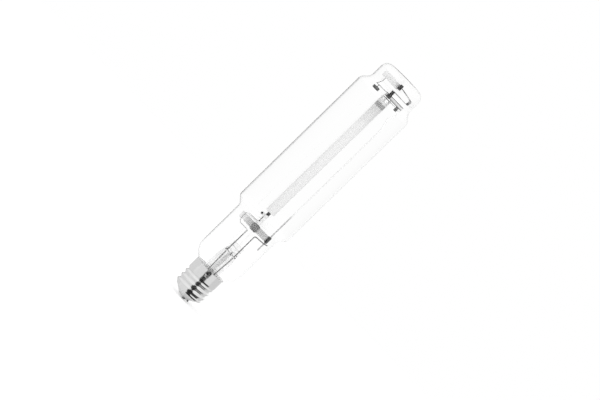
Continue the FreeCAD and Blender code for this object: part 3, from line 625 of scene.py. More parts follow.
def joined(name: str, *meshes: Mesh) -> Mesh:
    """Puts several meshes in a new one.

    Args:
        name: The new mesh's name.
        meshes: The meshes.

    Returns:
        The new mesh.
    """
    whole = bpy.data.meshes.new(name)
    with edited(whole) as form:
        for mesh in meshes:
            form.from_mesh(mesh)
    return whole


def scene_object(name: str, data: bpy.types.ID) -> bpy.types.Object:
    """Puts a mesh, a light or a camera in the scene.

    Args:
        name: The object's name.
        data: What it carries.

    Returns:
        The object.
    """
    made = bpy.data.objects.new(name, data)
    bpy.context.scene.collection.objects.link(made)
    return made


def evaluated_mesh(host: bpy.types.Object) -> Mesh:
    """Takes the plain mesh that a host's modifiers make, and removes them and the host.

    Args:
        host: The object with the modifiers.

    Returns:
        The plain mesh.
    """
    bpy.context.view_layer.update()
    graph = bpy.context.evaluated_depsgraph_get()
    mesh = bpy.data.meshes.new_from_object(host.evaluated_get(graph))
    host.modifiers.clear()
    bpy.data.objects.remove(host)
    return mesh


def modified(mesh: Mesh, kind: str, **settings: Any) -> Mesh:
    """Runs one modifier on a mesh.

    Args:
        mesh: The mesh.
        kind: The modifier's type.
        settings: Its properties.

    Returns:
        The plain mesh that it makes.
    """
    host = scene_object("host", mesh)
    modifier = host.modifiers.new(kind.lower(), kind)
    for name, value in settings.items():
        setattr(modifier, name, value)
    return evaluated_mesh(host)


def merged_node(node: str) -> Mesh:
    """Merges a copy of a CAD node's loose triangles, with its flat faces whole again.

    Args:
        node: The CAD node.

    Returns:
        The copy.
    """
    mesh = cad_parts[node].data.copy()
    with edited(mesh) as form:
        bmesh.ops.remove_doubles(form, verts=form.verts, dist=SAME_CORNER)
        bmesh.ops.dissolve_limit(form, angle_limit=FLAT_ANGLE, verts=form.verts, edges=form.edges)
    return mesh


def eased_node(node: str, edge: float) -> Mesh:
    """A merged copy of a CAD node with its sheared edges eased by a width."""
    return modified(merged_node(node), "BEVEL", width=edge * MM, segments=EASED_STEPS,
                    limit_method="ANGLE", angle_limit=EASED_ANGLE, use_clamp_overlap=True)


# Geometry node trees


class GeometryTree:
    """A geometry node group with named inputs that makes a plain mesh."""

    name = "tree"
    sockets: dict[str, str] = {}

    def __init__(self) -> None:
        """Makes the group, its inputs and its closing nodes."""
        tree = bpy.data.node_groups.new(self.name, "GeometryNodeTree")
        for label, kind in {"Geometry": "Geometry", **self.sockets, "Material": "Material"}.items():
            tree.interface.new_socket(label, in_out="INPUT", socket_type="NodeSocket" + kind)
        tree.interface.new_socket("Geometry", in_out="OUTPUT", socket_type="NodeSocketGeometry")
        self.graph = graph = Graph(tree)
        self.given = given = graph.fields("NodeGroupInput")
        whole = graph.field("GeometryNodeRealizeInstances", {"Geometry": self.build()})
        dressed = graph.field("GeometryNodeSetMaterial", {"Geometry": whole, "Material": given["Material"]})
        graph.add("NodeGroupOutput", {0: dressed})

    def build(self) -> Field:
        """Makes the tree's own nodes and gives their shape."""
        raise NotImplementedError

    def swept(self, curve: Field, radius: Field) -> Field:
        """A round wire along a curve, with the tree's own input for its sides.

        Args:
            curve: The curve.
            radius: The wire's radius.

        Returns:
            The wire.
        """
        section = self.graph.field("GeometryNodeCurvePrimitiveCircle", {
            "Resolution": self.given["Sides"], "Radius": radius})
        return self.graph.field("GeometryNodeCurveToMesh", {
            "Curve": curve, "Profile Curve": section, "Fill Caps": True})

    def make(self, finish: Finish, lengths: dict[str, Any], numbers: dict[str, float] | None = None,
             host: Mesh | None = None) -> Mesh:
        """Runs the tree.

        Args:
            finish: The finish of the result.
            lengths: Its inputs in millimetres, by name with an underscore for a space. A place is a vector.
            numbers: Its other inputs, named likewise.
            host: The mesh that the tree starts from, where it reads one.

        Returns:
            The plain mesh.
        """
        carrier = scene_object("host", host or bpy.data.meshes.new("host"))
        modifier = carrier.modifiers.new(self.name, "NODES")
        modifier.node_group = self.graph.tree
        values = {name: length * MM for name, length in lengths.items()} | (numbers or {})
        wanted: dict[str, Any] = {name.replace("_", " ").title(): value for name, value in values.items()}
        wanted["Material"] = finish.material()
        for item in self.graph.tree.interface.items_tree:
            if item.item_type == "SOCKET" and item.in_out == "INPUT" and item.name != "Geometry":
                modifier[item.identifier] = wanted.pop(item.name)
        if wanted:
            raise ValueError(f"{self.name} has no input {sorted(wanted)}")
        mesh = evaluated_mesh(carrier)
        face_outwards(mesh)
        return mesh


class WireTree(GeometryTree):
    """A round wire along the host's line, with its corners bent to one radius."""

    name = "wire along a path"
    sockets = {"Radius": "Float", "Bend": "Float", "Bend Steps": "Int", "Sides": "Int"}

    def build(self) -> Field:
        """Mesh to curve, fillet, then a swept circle.

        Returns:
            The wire.
        """
        graph, given = self.graph, self.given
        path = graph.field("GeometryNodeMeshToCurve", {"Mesh": given["Geometry"]})
        bent = graph.field("GeometryNodeFilletCurve", {
            "Curve": path, "Radius": given["Bend"], "Count": given["Bend Steps"], "Limit Radius": True,
        }, mode="POLY")
        return self.swept(bent, given["Radius"])


class CoilTree(GeometryTree):
    """A close coil of round wire that stands on a place."""

    name = "wound coil"
    sockets = {"Coil Radius": "Float", "Wire Radius": "Float", "Turns": "Float", "Height": "Float",
               "Turn Steps": "Int", "Sides": "Int", "Place": "Vector"}

    def build(self) -> Field:
        """A spiral of even radius, swept by a circle.

        Returns:
            The coil.
        """
        graph, given = self.graph, self.given
        spiral = graph.field("GeometryNodeCurveSpiral", {
            "Resolution": given["Turn Steps"], "Rotations": given["Turns"], "Height": given["Height"],
            "Start Radius": given["Coil Radius"], "End Radius": given["Coil Radius"]})
        wound = self.swept(spiral, given["Wire Radius"])
        return graph.field("GeometryNodeTransform", {"Geometry": wound, "Translation": given["Place"]})


class WeldTree(GeometryTree):
    """Round weld marks on the host's points, facing along the host's own attribute."""

    name = "weld marks"
    sockets = {"Mark Radius": "Float", "Mark Rise": "Float", "Sides": "Int", "Rings": "Int"}

    def build(self) -> Field:
        """A flattened ball on each point.

        Returns:
            The balls.
        """
        graph, given = self.graph, self.given
        ball = graph.field("GeometryNodeMeshUVSphere", {
            "Segments": given["Sides"], "Rings": given["Rings"], "Radius": 1.0}, "Mesh")
        facing = graph.field(
            "GeometryNodeInputNamedAttribute", {"Name": "facing"}, data_type="FLOAT_VECTOR")
        return graph.field("GeometryNodeInstanceOnPoints", {
            "Points": graph.field("GeometryNodeMeshToPoints", {"Mesh": given["Geometry"]}),
            "Instance": ball,
            "Rotation": graph.field("FunctionNodeAlignRotationToVector", {"Vector": facing}, axis="Z"),
            "Scale": graph.combined(given["Mark Radius"], given["Mark Radius"], given["Mark Rise"]),
        })


class ThreadTree(GeometryTree):
    """A cap's shell of thin sheet: rolled thread, plain skirt and turned-in foot, with faint dents.

    The sheet is a grid bent round the axis. Its rows go up the outside, over the rim, down the inside and
    back to the foot. The seam is how far the inside starts and ends from the turns, as a share of the rows.
    """

    name = "rolled thread"
    sockets = dict.fromkeys((
        "Crest Radius", "Foot Radius", "Depth", "Pitch", "Top Crest", "Foot", "Foot Turn", "Rim", "Wall",
        "Dent", "Seed"), "Float")
    columns = 160
    rows = 240
    seam = 0.0001
    dent_scale = 2.2
    dent_height_scale = 60.0
    dent_from = 0.45
    dent_to = 0.75

    def thread(self, angle: Field, height: Field) -> Field:
        """The outer radius of the threaded part, the skirt and the foot.

        Args:
            angle: The bearing round the axis, in radians.
            height: The height in metres.

        Returns:
            The radius in metres.
        """
        graph, given = self.graph, self.given
        foot, pitch, top = given["Foot"], given["Pitch"], given["Top Crest"]
        turn = (height - top) / pitch - (angle - math.pi) / FULL_TURN
        below_crest = (1.0 - graph.math("COSINE", turn * FULL_TURN)) * 0.5 * given["Depth"]
        skirt = graph.smooth_step(height, top - pitch / 2.0, top)
        threaded = given["Crest Radius"] - below_crest * (1.0 - skirt)
        turned_in = graph.smooth_step(height, foot, foot + given["Foot Turn"])
        return given["Foot Radius"] + (threaded - given["Foot Radius"]) * turned_in

    def dents(self, angle: Field, height: Field) -> Field:
        """How far the sheet is pressed in.

        Args:
            angle: The bearing round the axis, in radians.
            height: The height in metres.

        Returns:
            The depth in metres.
        """
        graph, given = self.graph, self.given
        around = graph.combined(
            graph.math("COSINE", angle), graph.math("SINE", angle), height * self.dent_height_scale)
        noise = graph.field("ShaderNodeTexNoise", {
            "Vector": around, "W": given["Seed"], "Scale": self.dent_scale, "Detail": 1.0},
            noise_dimensions="4D")
        return given["Dent"] * graph.smooth_step(noise, self.dent_from, self.dent_to)

    def build(self) -> Field:
        """Bends the grid into the shell.

        Returns:
            The shell.
        """
        graph, given = self.graph, self.given
        grid = graph.field("GeometryNodeMeshGrid", {
            "Size X": 1.0, "Size Y": 1.0, "Vertices X": self.columns + 1, "Vertices Y": self.rows + 1})
        flat = graph.fields("ShaderNodeSeparateXYZ", {0: graph.field("GeometryNodeInputPosition")})
        angle = (flat["X"] + 0.5) * FULL_TURN
        across, deep = graph.math("COSINE", angle), graph.math("SINE", angle)
        share = flat["Y"] + 0.5
        rise = 1.0 - graph.math("ABSOLUTE", share * 2.0 - 1.0)
        height = given["Foot"] + (given["Rim"] - given["Foot"]) * rise
        inside = (graph.math("GREATER_THAN", share, 0.5 + self.seam)
                  * graph.math("LESS_THAN", share, 1.0 - self.seam))
        radius = self.thread(angle, height) - given["Wall"] * inside
        radius = radius - self.dents(angle, height)
        shaped = graph.combined(radius * across, radius * deep, height)
        bent = graph.field("GeometryNodeSetPosition", {"Geometry": grid, "Position": shaped})
        return graph.field("GeometryNodeMergeByDistance", {"Geometry": bent, "Distance": ON_AXIS})


WIRE_TREE = WireTree()
COIL_TREE = CoilTree()
WELD_TREE = WeldTree()
THREAD_TREE = ThreadTree()


def bent_wire(points: Sequence[Point3], radius: float, bend: float, finish: Finish) -> Mesh:
    """A wire through corners.

    Args:
        points: The corners.
        radius: The wire's radius.
        bend: The radius of its bends.
        finish: Its finish.

    Returns:
        The mesh.
    """
    path = new_mesh("path", points, edges=[(number, number + 1) for number in range(len(points) - 1)])
    lengths = {"radius": radius, "bend": bend}
    return WIRE_TREE.make(finish, lengths, {"bend_steps": BEND_STEPS, "sides": WIRE_SIDES}, path)


def weld_marks(places: Sequence[Point3], radius: float, finish: Finish, rise: float = 0.12,
               facing: Point3 = FRONT) -> Mesh:
    """Weld marks that face one way.

    Args:
        places: Their places.
        radius: Their radius.
        finish: Their finish.
        rise: How far they stand out.
        facing: The way that they face.

    Returns:
        One mesh with all the marks.
    """
    host = new_mesh("marks", places)
    ways = host.attributes.new("facing", "FLOAT_VECTOR", "POINT")
    for way in ways.data:
        way.vector = facing
    lengths = {"mark_radius": radius, "mark_rise": rise}
    return WELD_TREE.make(finish, lengths, {"sides": MARK_SIDES, "rings": MARK_RINGS}, host)


# Pieces


def publish(name: str, mesh: Mesh, finish: Finish, slot: Slot, *nodes: str) -> None:
    """Puts a piece on the lamp in place of its CAD nodes and reports it.

    Args:
        name: The piece's name.
        mesh: Its mesh, in metres and in place.
        finish: Its finish.
        slot: The record's slot; not used.
        nodes: The CAD nodes that it stands for.
    """
    mesh.materials.clear()
    mesh.materials.append(finish.material())
    mesh.shade_smooth()
    mesh.set_sharp_from_angle(angle=SHARP_ANGLE)
    piece = scene_object(name, mesh)
    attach(piece, BODY)
    if nodes:
        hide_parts(*nodes)
    LOG.info("%s: %d faces", name, len(mesh.polygons))


def publish_eased(*pieces: tuple[str, str, float, Finish, Slot]) -> None:
    """Puts pieces on the lamp that are CAD nodes with their sheared edges eased.

    Args:
        pieces: For each its name, its CAD node, the width of the easing, its finish and its slot.
    """
    for name, node, edge, finish, slot in pieces:
        publish(name, eased_node(node, edge), finish, slot, node)


def dress_node(node: str, finish: Finish) -> None:
    """Gives a CAD node that stays its finish.

    Args:
        node: The CAD node.
        finish: Its finish.
    """
    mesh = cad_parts[node].data
    mesh.materials.clear()
    mesh.materials.append(finish.material())
    LOG.info("%s: kept with %s", node, finish.name)


class SubAssembly:
    """A group of pieces that are built and dressed together."""

    def build(self) -> None:
        """Builds every piece of the group."""
        raise NotImplementedError


@dataclass
class Bulb(SubAssembly):
    """The blown outer glass: a wide tube drawn in to a waist below and a dome above.

    The seal, the waist and the body run between two heights each. The reaches are the radii at which the
    crown's arc is followed to the pole.
    """

    radius: float = 37.0
    waist_radius: float = 29.4
    dome_radius: float = 29.0
    seal_radius: float = 16.0
    wall: float = 1.2
    seal: Point2 = (26.0, 41.5)
    waist: Point2 = (54.5, 118.65)
    body: Point2 = (126.65, 310.75)
    dome_foot: float = 318.75
    top: float = 344.4
    crown_rise: float = 1.6
    crown_reaches: tuple[float, ...] = (18.0, 15.0, 12.0, 9.0, 6.0, 3.0, 1.0)
    roundings: tuple[float, ...] = (6.0, 15.0, 5.0, 5.0, 9.0, 9.0, 9.0)
    segments: int = 192

    def outline(self) -> list[Point2]:
        """The outer outline from the seal up to the crown.

        Returns:
            Its points.
        """
        crown_radius = (self.dome_radius ** 2 + self.crown_rise ** 2) / (2 * self.crown_rise)
        crown = [(reach, self.top - crown_radius + math.sqrt(crown_radius ** 2 - reach ** 2))
                 for reach in self.crown_reaches]
        runs = (
            (self.seal_radius, self.seal), (self.waist_radius, self.waist), (self.radius, self.body),
            (self.dome_radius, (self.dome_foot, self.top - self.crown_rise)),
        )
        corners = tuple((radius, height) for radius, heights in runs for height in heights)
        return Profile((*corners, crown[0]), self.roundings).line() + crown[1:]

    def build(self) -> None:
        """Turns the outer and the inner skin in one."""
        outer = self.outline()
        inner = inset_line(outer, self.wall, 0.0)
        line = [(0.0, self.top), *outer[::-1], *inner, (0.0, self.top - self.wall)]
        publish("outer_bulb_glass", lathe(line, self.segments), BULB, Slot.CLEAR_GLASS, "outer_bulb")


@dataclass
class Stem(SubAssembly):
    """The sealed-in stem: flare, tube, press and exhaust tube in one glass.

    Its heights start at the seal. The press's levels pair a height with the share of the depth there, and
    its squareness is the power that turns a circle into its rounded block. The lip takes the place of the
    first few points of the tube's inner line.
    """

    lean: float = 3.2
    foot: float = 26.0
    mouth: float = 17.2
    seal_gap: float = 0.05
    radius: float = 10.0
    shoulder_radius: float = 8.3
    wall: float = 1.2
    lip: float = 0.6
    lip_points: int = 3
    flare_foot: float = 1.4
    flare_top: float = 9.5
    shoulder: float = 40.0
    tube_top: float = 47.0
    tube_roundings: tuple[float, ...] = (4.0, 6.0, 1.5)
    least_bore: float = 0.05
    exhaust: Profile = Profile(((0.0, -4.0), (2.6, -4.0), (2.6, 46.2)), (2.4,))
    exhaust_bore: Line = ((1.6, 46.2), (1.6, -1.8), (0.9, -2.8), (0.0, -3.0))
    exhaust_segments: int = 40
    press_width: float = 16.6
    press_depth: float = 6.5
    press_squareness: float = 0.35
    press_sides: int = 64
    press_levels: Line = (
        (45.9, 1.0), (49.3, 1.0), (49.8, 0.8), (50.3, 1.0), (53.9, 1.0), (54.4, 0.8), (54.9, 1.0),
        (58.9, 1.0), (59.5, 0.86))
    knot_places: Places = ((-3.4, 0.0, 73.9), (3.4, 0.0, 73.9))
    knot_radius: float = 0.8
    segments: int = 96

    def leaning(self, mesh: Mesh) -> Mesh:
        """Stands a mesh on the seal at the stem's lean."""
        return shift(mesh, (0.0, 0.0, self.foot), Matrix.Rotation(math.radians(self.lean), 4, "Y"))

    def tube(self) -> Mesh:
        """The flare and the tube up to its closed shoulder.

        Returns:
            The mesh.
        """
        neck = self.mouth - self.wall - self.seal_gap
        outer = Profile((
            (neck, self.flare_foot), (self.radius, self.flare_top), (self.radius, self.shoulder),
            (self.shoulder_radius, self.tube_top), (0.0, self.tube_top),
        ), self.tube_roundings).line()
        inner = inset_line(outer[:-1], self.wall, self.least_bore)
        lip = [(neck, self.lip), (neck - self.wall, self.lip)]
        line = [*outer[::-1], *lip, *inner[self.lip_points:], (0.0, self.tube_top - self.wall)]
        return lathe(line, self.segments)

    def press(self) -> Mesh:
        """The pinched block, narrower at its jaws' marks.

        Returns:
            The mesh.
        """
        sides = self.press_sides
        angles = [FULL_TURN * number / sides for number in range(sides)]
        square = [[math.copysign(abs(part) ** self.press_squareness, part)
                   for part in (math.cos(angle), math.sin(angle))] for angle in angles]
        points = [(across * self.press_width / 2, deep * self.press_depth / 2 * share, height)
                  for height, share in self.press_levels for across, deep in square]
        rings = [list(range(first, first + sides)) for first in range(0, len(points), sides)]
        mesh = new_mesh("press", points, faces=[*ring_faces(rings), rings[0][::-1], rings[-1]])
        face_outwards(mesh)
        return mesh

    def build(self) -> None:
        """Joins the flare, the press and the exhaust tube, and sets two dark knots in the press's glass."""
        press = scene_object("press", self.press())
        skin = modified(self.tube(), "BOOLEAN", operation="UNION", solver="EXACT", object=press)
        bpy.data.objects.remove(press)
        exhaust = lathe([*self.exhaust.line(), *self.exhaust_bore], self.exhaust_segments)
        glass = joined("stem", self.leaning(skin), self.leaning(exhaust))
        publish("stem_glass", glass, STEM, Slot.STEM_GLASS, "stem")
        knots = weld_marks(self.knot_places, self.knot_radius, DARK_METAL, self.knot_radius)
        publish("lead_knots", knots, DARK_METAL, Slot.LEAD_WIRE)


@dataclass(frozen=True)
class ShellSizes:
    """The sizes of the cap's threaded shell, named as the inputs of its tree."""

    crest_radius: float = 19.75
    foot_radius: float = 17.0
    depth: float = 1.8
    pitch: float = 6.35
    top_crest: float = 32.0
    foot: float = 8.8
    foot_turn: float = 2.2
    rim: float = 44.5
    wall: float = 0.35
    dent: float = 0.2


@dataclass
class Cap(SubAssembly):
    """The screw cap: threaded shell, pale insulator, centre contact and its solder."""

    shell: ShellSizes = ShellSizes()
    dent_seed: float = 3.0
    insulator: Profile = Profile(
        ((2.2, 3.2), (8.0, 3.2), (8.2, 3.4), (16.55, 8.9), (16.55, 13.0), (2.2, 13.0)),
        (0.3, 0.6, 1.2, 1.0))
    insulator_segments: int = 120
    plate: Profile = Profile(((0.8, 1.0), (3.6, 1.0), (7.6, 2.4), (7.6, 3.0), (0.8, 3.0)), (0.8, 0.4, 0.0))
    plate_segments: int = 80
    bead: Profile = Profile(((0.0, 0.0), (1.8, 0.0), (2.8, 1.05), (0.0, 1.05)), (0.5, 0.2), steps=8)
    bead_segments: int = 48
    # Black dots by the centre contact, a painted dark reflection: their places, facing, radius and rise.
    painted_reflection_places: Places = ((2.3, -6.8, 2.2), (7.0, -3.3, 2.3))
    painted_reflection_facing: Point3 = (0.2, -1.0, -0.3)
    painted_reflection_radius: float = 1.1
    painted_reflection_rise: float = 0.8

    def build(self) -> None:
        """Builds the cap from the shell down to the solder, with black dots by the contact as a painted dark
        reflection.
        """
        shell = THREAD_TREE.make(CAP, asdict(self.shell), {"seed": self.dent_seed})
        publish("cap_shell_threaded", shell, CAP, Slot.CAP_METAL, "cap_shell")
        insulator = self.insulator.turned(self.insulator_segments)
        publish("insulator_disc", insulator, INSULATOR, Slot.INSULATOR, "cap_insulator")
        plate = self.plate.turned(self.plate_segments)
        publish("centre_contact_plate", plate, CONTACT, Slot.CONTACT, "centre_contact")
        bead = lathe(self.bead.line(), self.bead_segments)
        publish("solder_bead", bead, SOLDER, Slot.SOLDER, "contact_solder")
        # Painted dark reflection by the contact, as black dots.
        specks = weld_marks(
            self.painted_reflection_places, self.painted_reflection_radius, PAINTED_REFLECTION, self.painted_reflection_rise, self.painted_reflection_facing)
        publish("painted_reflection_specks", specks, PAINTED_REFLECTION, Slot.SOLDER)
        dress_node("basing_cement", CEMENT)


@dataclass
class Wires(SubAssembly):
    """The leads through the press, the return wire and the frame rod.

    The leads' corners are places. The return wire and the rod each lie flat at one depth, so theirs are pairs
    of a place across and a height.
    """

    lead_radius: float = 0.7
    lead_bend: float = 2.2
    left_lead: Places = (
        (0.0, 0.0, 0.35), (0.0, 0.0, 13.0), (-2.0, -4.5, 20.5), (-2.0, -4.5, 44.5), (-2.8, 0.0, 68.0),
        (-2.8, 0.0, 104.0))
    right_lead: Places = (
        (0.0, 18.6, 41.0), (0.0, 18.6, 36.5), (0.0, 16.8, 32.5), (0.0, 16.8, 21.5), (6.0, 8.0, 21.5),
        (6.5, 5.0, 32.0), (8.2, 0.0, 68.0), (8.2, 0.0, 105.0), (21.0, 0.0, 106.0), (25.2, 0.0, 107.4))
    return_radius: float = 0.45
    return_bend: float = 2.0
    return_corners: Line = (
        (-2.8, 98.0), (-2.8, 104.4), (-14.6, 104.4), (-17.2, 108.2), (-17.2, 118.6), (-1.163, 119.6),
        (-1.163, 126.7))
    rod_radius: float = 0.8
    rod_bend: float = 2.4
    rod_depth: float = 1.6
    rod_corners: Line = (
        (21.0, 96.0), (21.0, 286.0), (17.4, 299.0), (21.8, 306.4), (21.0, 312.4), (15.4, 312.4))

    def flat(self, corners: Sequence[Point2], depth: float) -> list[Point3]:
        """Places of corners that all lie at one depth."""
        return [(across, depth, height) for across, height in corners]

    def build(self) -> None:
        """Builds the four wires."""
        before_lead = -(self.lead_radius + self.return_radius)
        return_wire = self.flat(self.return_corners, before_lead)
        rod = self.flat(self.rod_corners, self.rod_depth)
        lead = (self.lead_radius, self.lead_bend, WIRE, Slot.LEAD_WIRE)
        for name, node, corners, radius, bend, finish, slot in (
            ("left_lead_wire", "left_lead", self.left_lead, *lead),
            ("right_lead_wire", "right_lead", self.right_lead, *lead),
            ("return_wire_bent", "return_wire", return_wire, self.return_radius, self.return_bend, THIN_WIRE,
             Slot.LEAD_WIRE),
            ("side_rod_bent", "side_rod", rod, self.rod_radius, self.rod_bend, ROD, Slot.ROD),
        ):
            publish(name, bent_wire(corners, radius, bend, finish), finish, slot, node)


@dataclass
class Bridge(SubAssembly):
    """The strips round the bush below the arc tube, and the ferrule on the rod."""

    strip_edge: float = 0.1
    bush_edge: float = 0.3
    ferrule_edge: float = 0.15
    mark_radius: float = 0.8
    mark_places: Places = (
        (-7.5, -0.5, 110.6), (-7.5, -0.5, 114.0), (9.5, -0.5, 110.6), (9.5, -0.5, 114.0))

    def build(self) -> None:
        """Builds the strips with their weld marks, the bush and the ferrule."""
        marks = weld_marks(self.mark_places, self.mark_radius, STRIP)
        front = joined("front strip", eased_node("lower_bridge", self.strip_edge), marks)
        publish("bridge_front_strip", front, STRIP, Slot.STRIP, "lower_bridge")
        publish_eased(
            ("bridge_back", "bridge_back_strip", self.strip_edge, STRIP, Slot.STRIP),
            ("bridge_bush_ring", "bridge_bush", self.bush_edge, CERAMIC, Slot.CERAMIC),
            ("rod_ferrule_sleeve", "rod_ferrule", self.ferrule_edge, FERRULE_PAINTED_SHADE, Slot.STRIP),
        )


@dataclass
class ArcTube(SubAssembly):
    """The translucent arc tube with its plugs, end tubes, electrodes, foil band and burnt welds."""

    x: float = 1.0
    radius: float = 5.9
    wall: float = 0.8
    foot: float = 135.0
    top: float = 314.0
    lip: float = 0.25
    segments: int = 96
    coil_radius: float = 1.62
    coil_wire_radius: float = 0.62
    coil_turns: float = 5.0
    coil_turn_steps: int = 28
    coil_sides: int = 12
    coil_height: float = 7.5
    lower_coil_foot: float = 147.3
    upper_coil_foot: float = 293.2
    end_tube_edge: float = 0.3
    foil_edge: float = 0.03
    tab_edge: float = 0.08
    tab_burn: Point3 = (-5.0, -1.1, 128.7)
    tab_burn_radius: float = 1.45
    wire_burns: Places = ((-1.2, -1.6, 124.5), (-1.1, -1.6, 121.2))
    wire_burn_radius: float = 0.7

    def tube(self) -> Mesh:
        """The long ceramic tube.

        Returns:
            The mesh.
        """
        bore = self.radius - self.wall
        wall = Profile((
            (bore, self.foot), (self.radius, self.foot), (self.radius, self.top), (bore, self.top),
        ), (self.lip, self.lip), steps=4)
        return shift(wall.turned(self.segments), (self.x, 0.0, 0.0))

    def coil(self, foot: float) -> Mesh:
        """The winding on one electrode.

        Args:
            foot: Its lower end.

        Returns:
            The mesh.
        """
        return COIL_TREE.make(TUNGSTEN, {
            "coil_radius": self.coil_radius,
            "wire_radius": self.coil_wire_radius,
            "height": self.coil_height,
            "place": Vector((self.x, 0.0, foot)),
        }, {"turns": self.coil_turns, "turn_steps": self.coil_turn_steps, "sides": self.coil_sides})

    def build(self) -> None:
        """Builds the tube and everything on its axis."""
        publish("arc_tube_ceramic", self.tube(), ALUMINA, Slot.ALUMINA, "arc_tube")
        for end in ("lower", "upper"):
            dress_node(f"{end}_plug", ALUMINA)
            dress_node(f"{end}_electrode_rod", TUNGSTEN)
        for end, foot in (("lower", self.lower_coil_foot), ("upper", self.upper_coil_foot)):
            publish(f"{end}_coil_winding", self.coil(foot), TUNGSTEN, Slot.TUNGSTEN,
                    f"{end}_electrode_coil")
        publish_eased(
            ("lower_end_tube_drawn", "lower_end_tube", self.end_tube_edge, NIOBIUM, Slot.NIOBIUM),
            ("upper_end_tube_drawn", "upper_end_tube", self.end_tube_edge, DARK_METAL, Slot.NIOBIUM),
            ("heat_shield_foil", "heat_shield", self.foil_edge, FOIL, Slot.NIOBIUM),
            ("weld_tab_lower", "lower_weld_tab", self.tab_edge, TAB, Slot.NIOBIUM),
        )
        burns = joined("burnt", weld_marks([self.tab_burn], self.tab_burn_radius, DARK_METAL),
                       weld_marks(self.wire_burns, self.wire_burn_radius, DARK_METAL))
        publish("burnt_welds", burns, DARK_METAL, Slot.NIOBIUM)


@dataclass
class FrameHead(SubAssembly):
    """The cross strap, its tab, the getter and the sprung leaves in the dome."""

    post_x: float = 1.0
    edge: float = 0.1
    ring_edge: float = 0.06
    wire_edge: float = 0.05
    pin_edge: float = 0.4
    front_strip_corners: tuple[Point3, Point3] = ((3.6, -2.3, 315.3), (21.2, -2.0, 317.7))
    mark_places: Places = ((16.0, -3.0, 314.95), (16.0, -3.0, 318.05))
    mark_radius: float = 0.25
    collar: Profile = Profile(
        ((2.05, 315.5), (2.8, 315.5), (2.8, 317.5), (2.05, 317.5)), (0.3, 0.3), steps=4)
    collar_segments: int = 48
    leaf_burn: Point3 = (21.7, 12.5, 325.8)
    leaf_burn_facing: Point3 = (0.6, -0.8, 0.0)
    leaf_burn_radius: float = 1.6
    leaf_burn_rise: float = 0.5

    def front_strip(self) -> Mesh:
        """The flat strip that closes the front of the folded strap.

        Returns:
            The mesh.
        """
        low, high = (np.array(corner) for corner in self.front_strip_corners)
        place = Matrix.Translation((low + high) / 2 * MM) @ Matrix.Diagonal((*((high - low) * MM), 1.0))
        mesh = bpy.data.meshes.new("front strip")
        with edited(mesh) as form:
            bmesh.ops.create_cube(form, size=1.0, matrix=place)
        return mesh

    def build(self) -> None:
        """Builds the head from the strap up."""
        strap = joined("strap", eased_node("upper_cross_strap", self.edge), self.front_strip(),
                       weld_marks(self.mark_places, self.mark_radius, HEAD_STRIP_PAINTED_SHADE))
        publish("cross_strap_channel", strap, HEAD_STRIP_PAINTED_SHADE, Slot.STRIP, "upper_cross_strap")
        collar = shift(self.collar.turned(self.collar_segments), (self.post_x, 0.0, 0.0))
        publish("post_weld", collar, DARK_METAL, Slot.STRIP)
        publish_eased(
            ("rod_tab_block", "rod_tab", self.edge, TAB_BLOCK, Slot.STRIP),
            ("getter_arm_strip", "getter_arm", self.edge, ARM, Slot.STRIP),
            ("getter_channel_ring", "getter_ring", self.ring_edge, GETTER, Slot.GETTER),
            ("getter_wire_hanger", "getter_wire", self.wire_edge, GETTER, Slot.GETTER),
            ("spring_pin_turned", "spring_pin", self.pin_edge, DARK_METAL, Slot.ROD),
            ("right_spring_leaf", "right_spring", self.edge, SPRING, Slot.SPRING),
        )
        burn = weld_marks([self.leaf_burn], self.leaf_burn_radius, DARK_METAL, self.leaf_burn_rise,
                          self.leaf_burn_facing)
        publish("leaf_burnt_end", burn, DARK_METAL, Slot.SPRING)
        publish_eased(("left_spring_band", "left_spring", self.edge, BAND, Slot.SPRING))
        publish("left_stay_wire", merged_node("left_stay"), THIN_WIRE, Slot.LEAD_WIRE, "left_stay")


# Studio


@dataclass(frozen=True)
class Flag:
    """A dark flag that only mirrors show, between two bearings round the lamp in degrees.

    0 is the front, and +X is on the positive side.
    """

    start: float
    end: float
    darkness: float
    soft: float = 6.0

    def shown(self, graph: ShaderGraph, turn: Field) -> Field:
        """How dark the flag is at a bearing.

        Args:
            graph: The tree.
            turn: The bearing in degrees.

        Returns:
            Its darkness between its soft sides and 0 elsewhere.
        """
        rising = graph.smooth_step(turn, self.start - self.soft, self.start + self.soft)
        falling = graph.smooth_step(turn, self.end - self.soft, self.end + self.soft)
        return rising * (1.0 - falling) * self.darkness


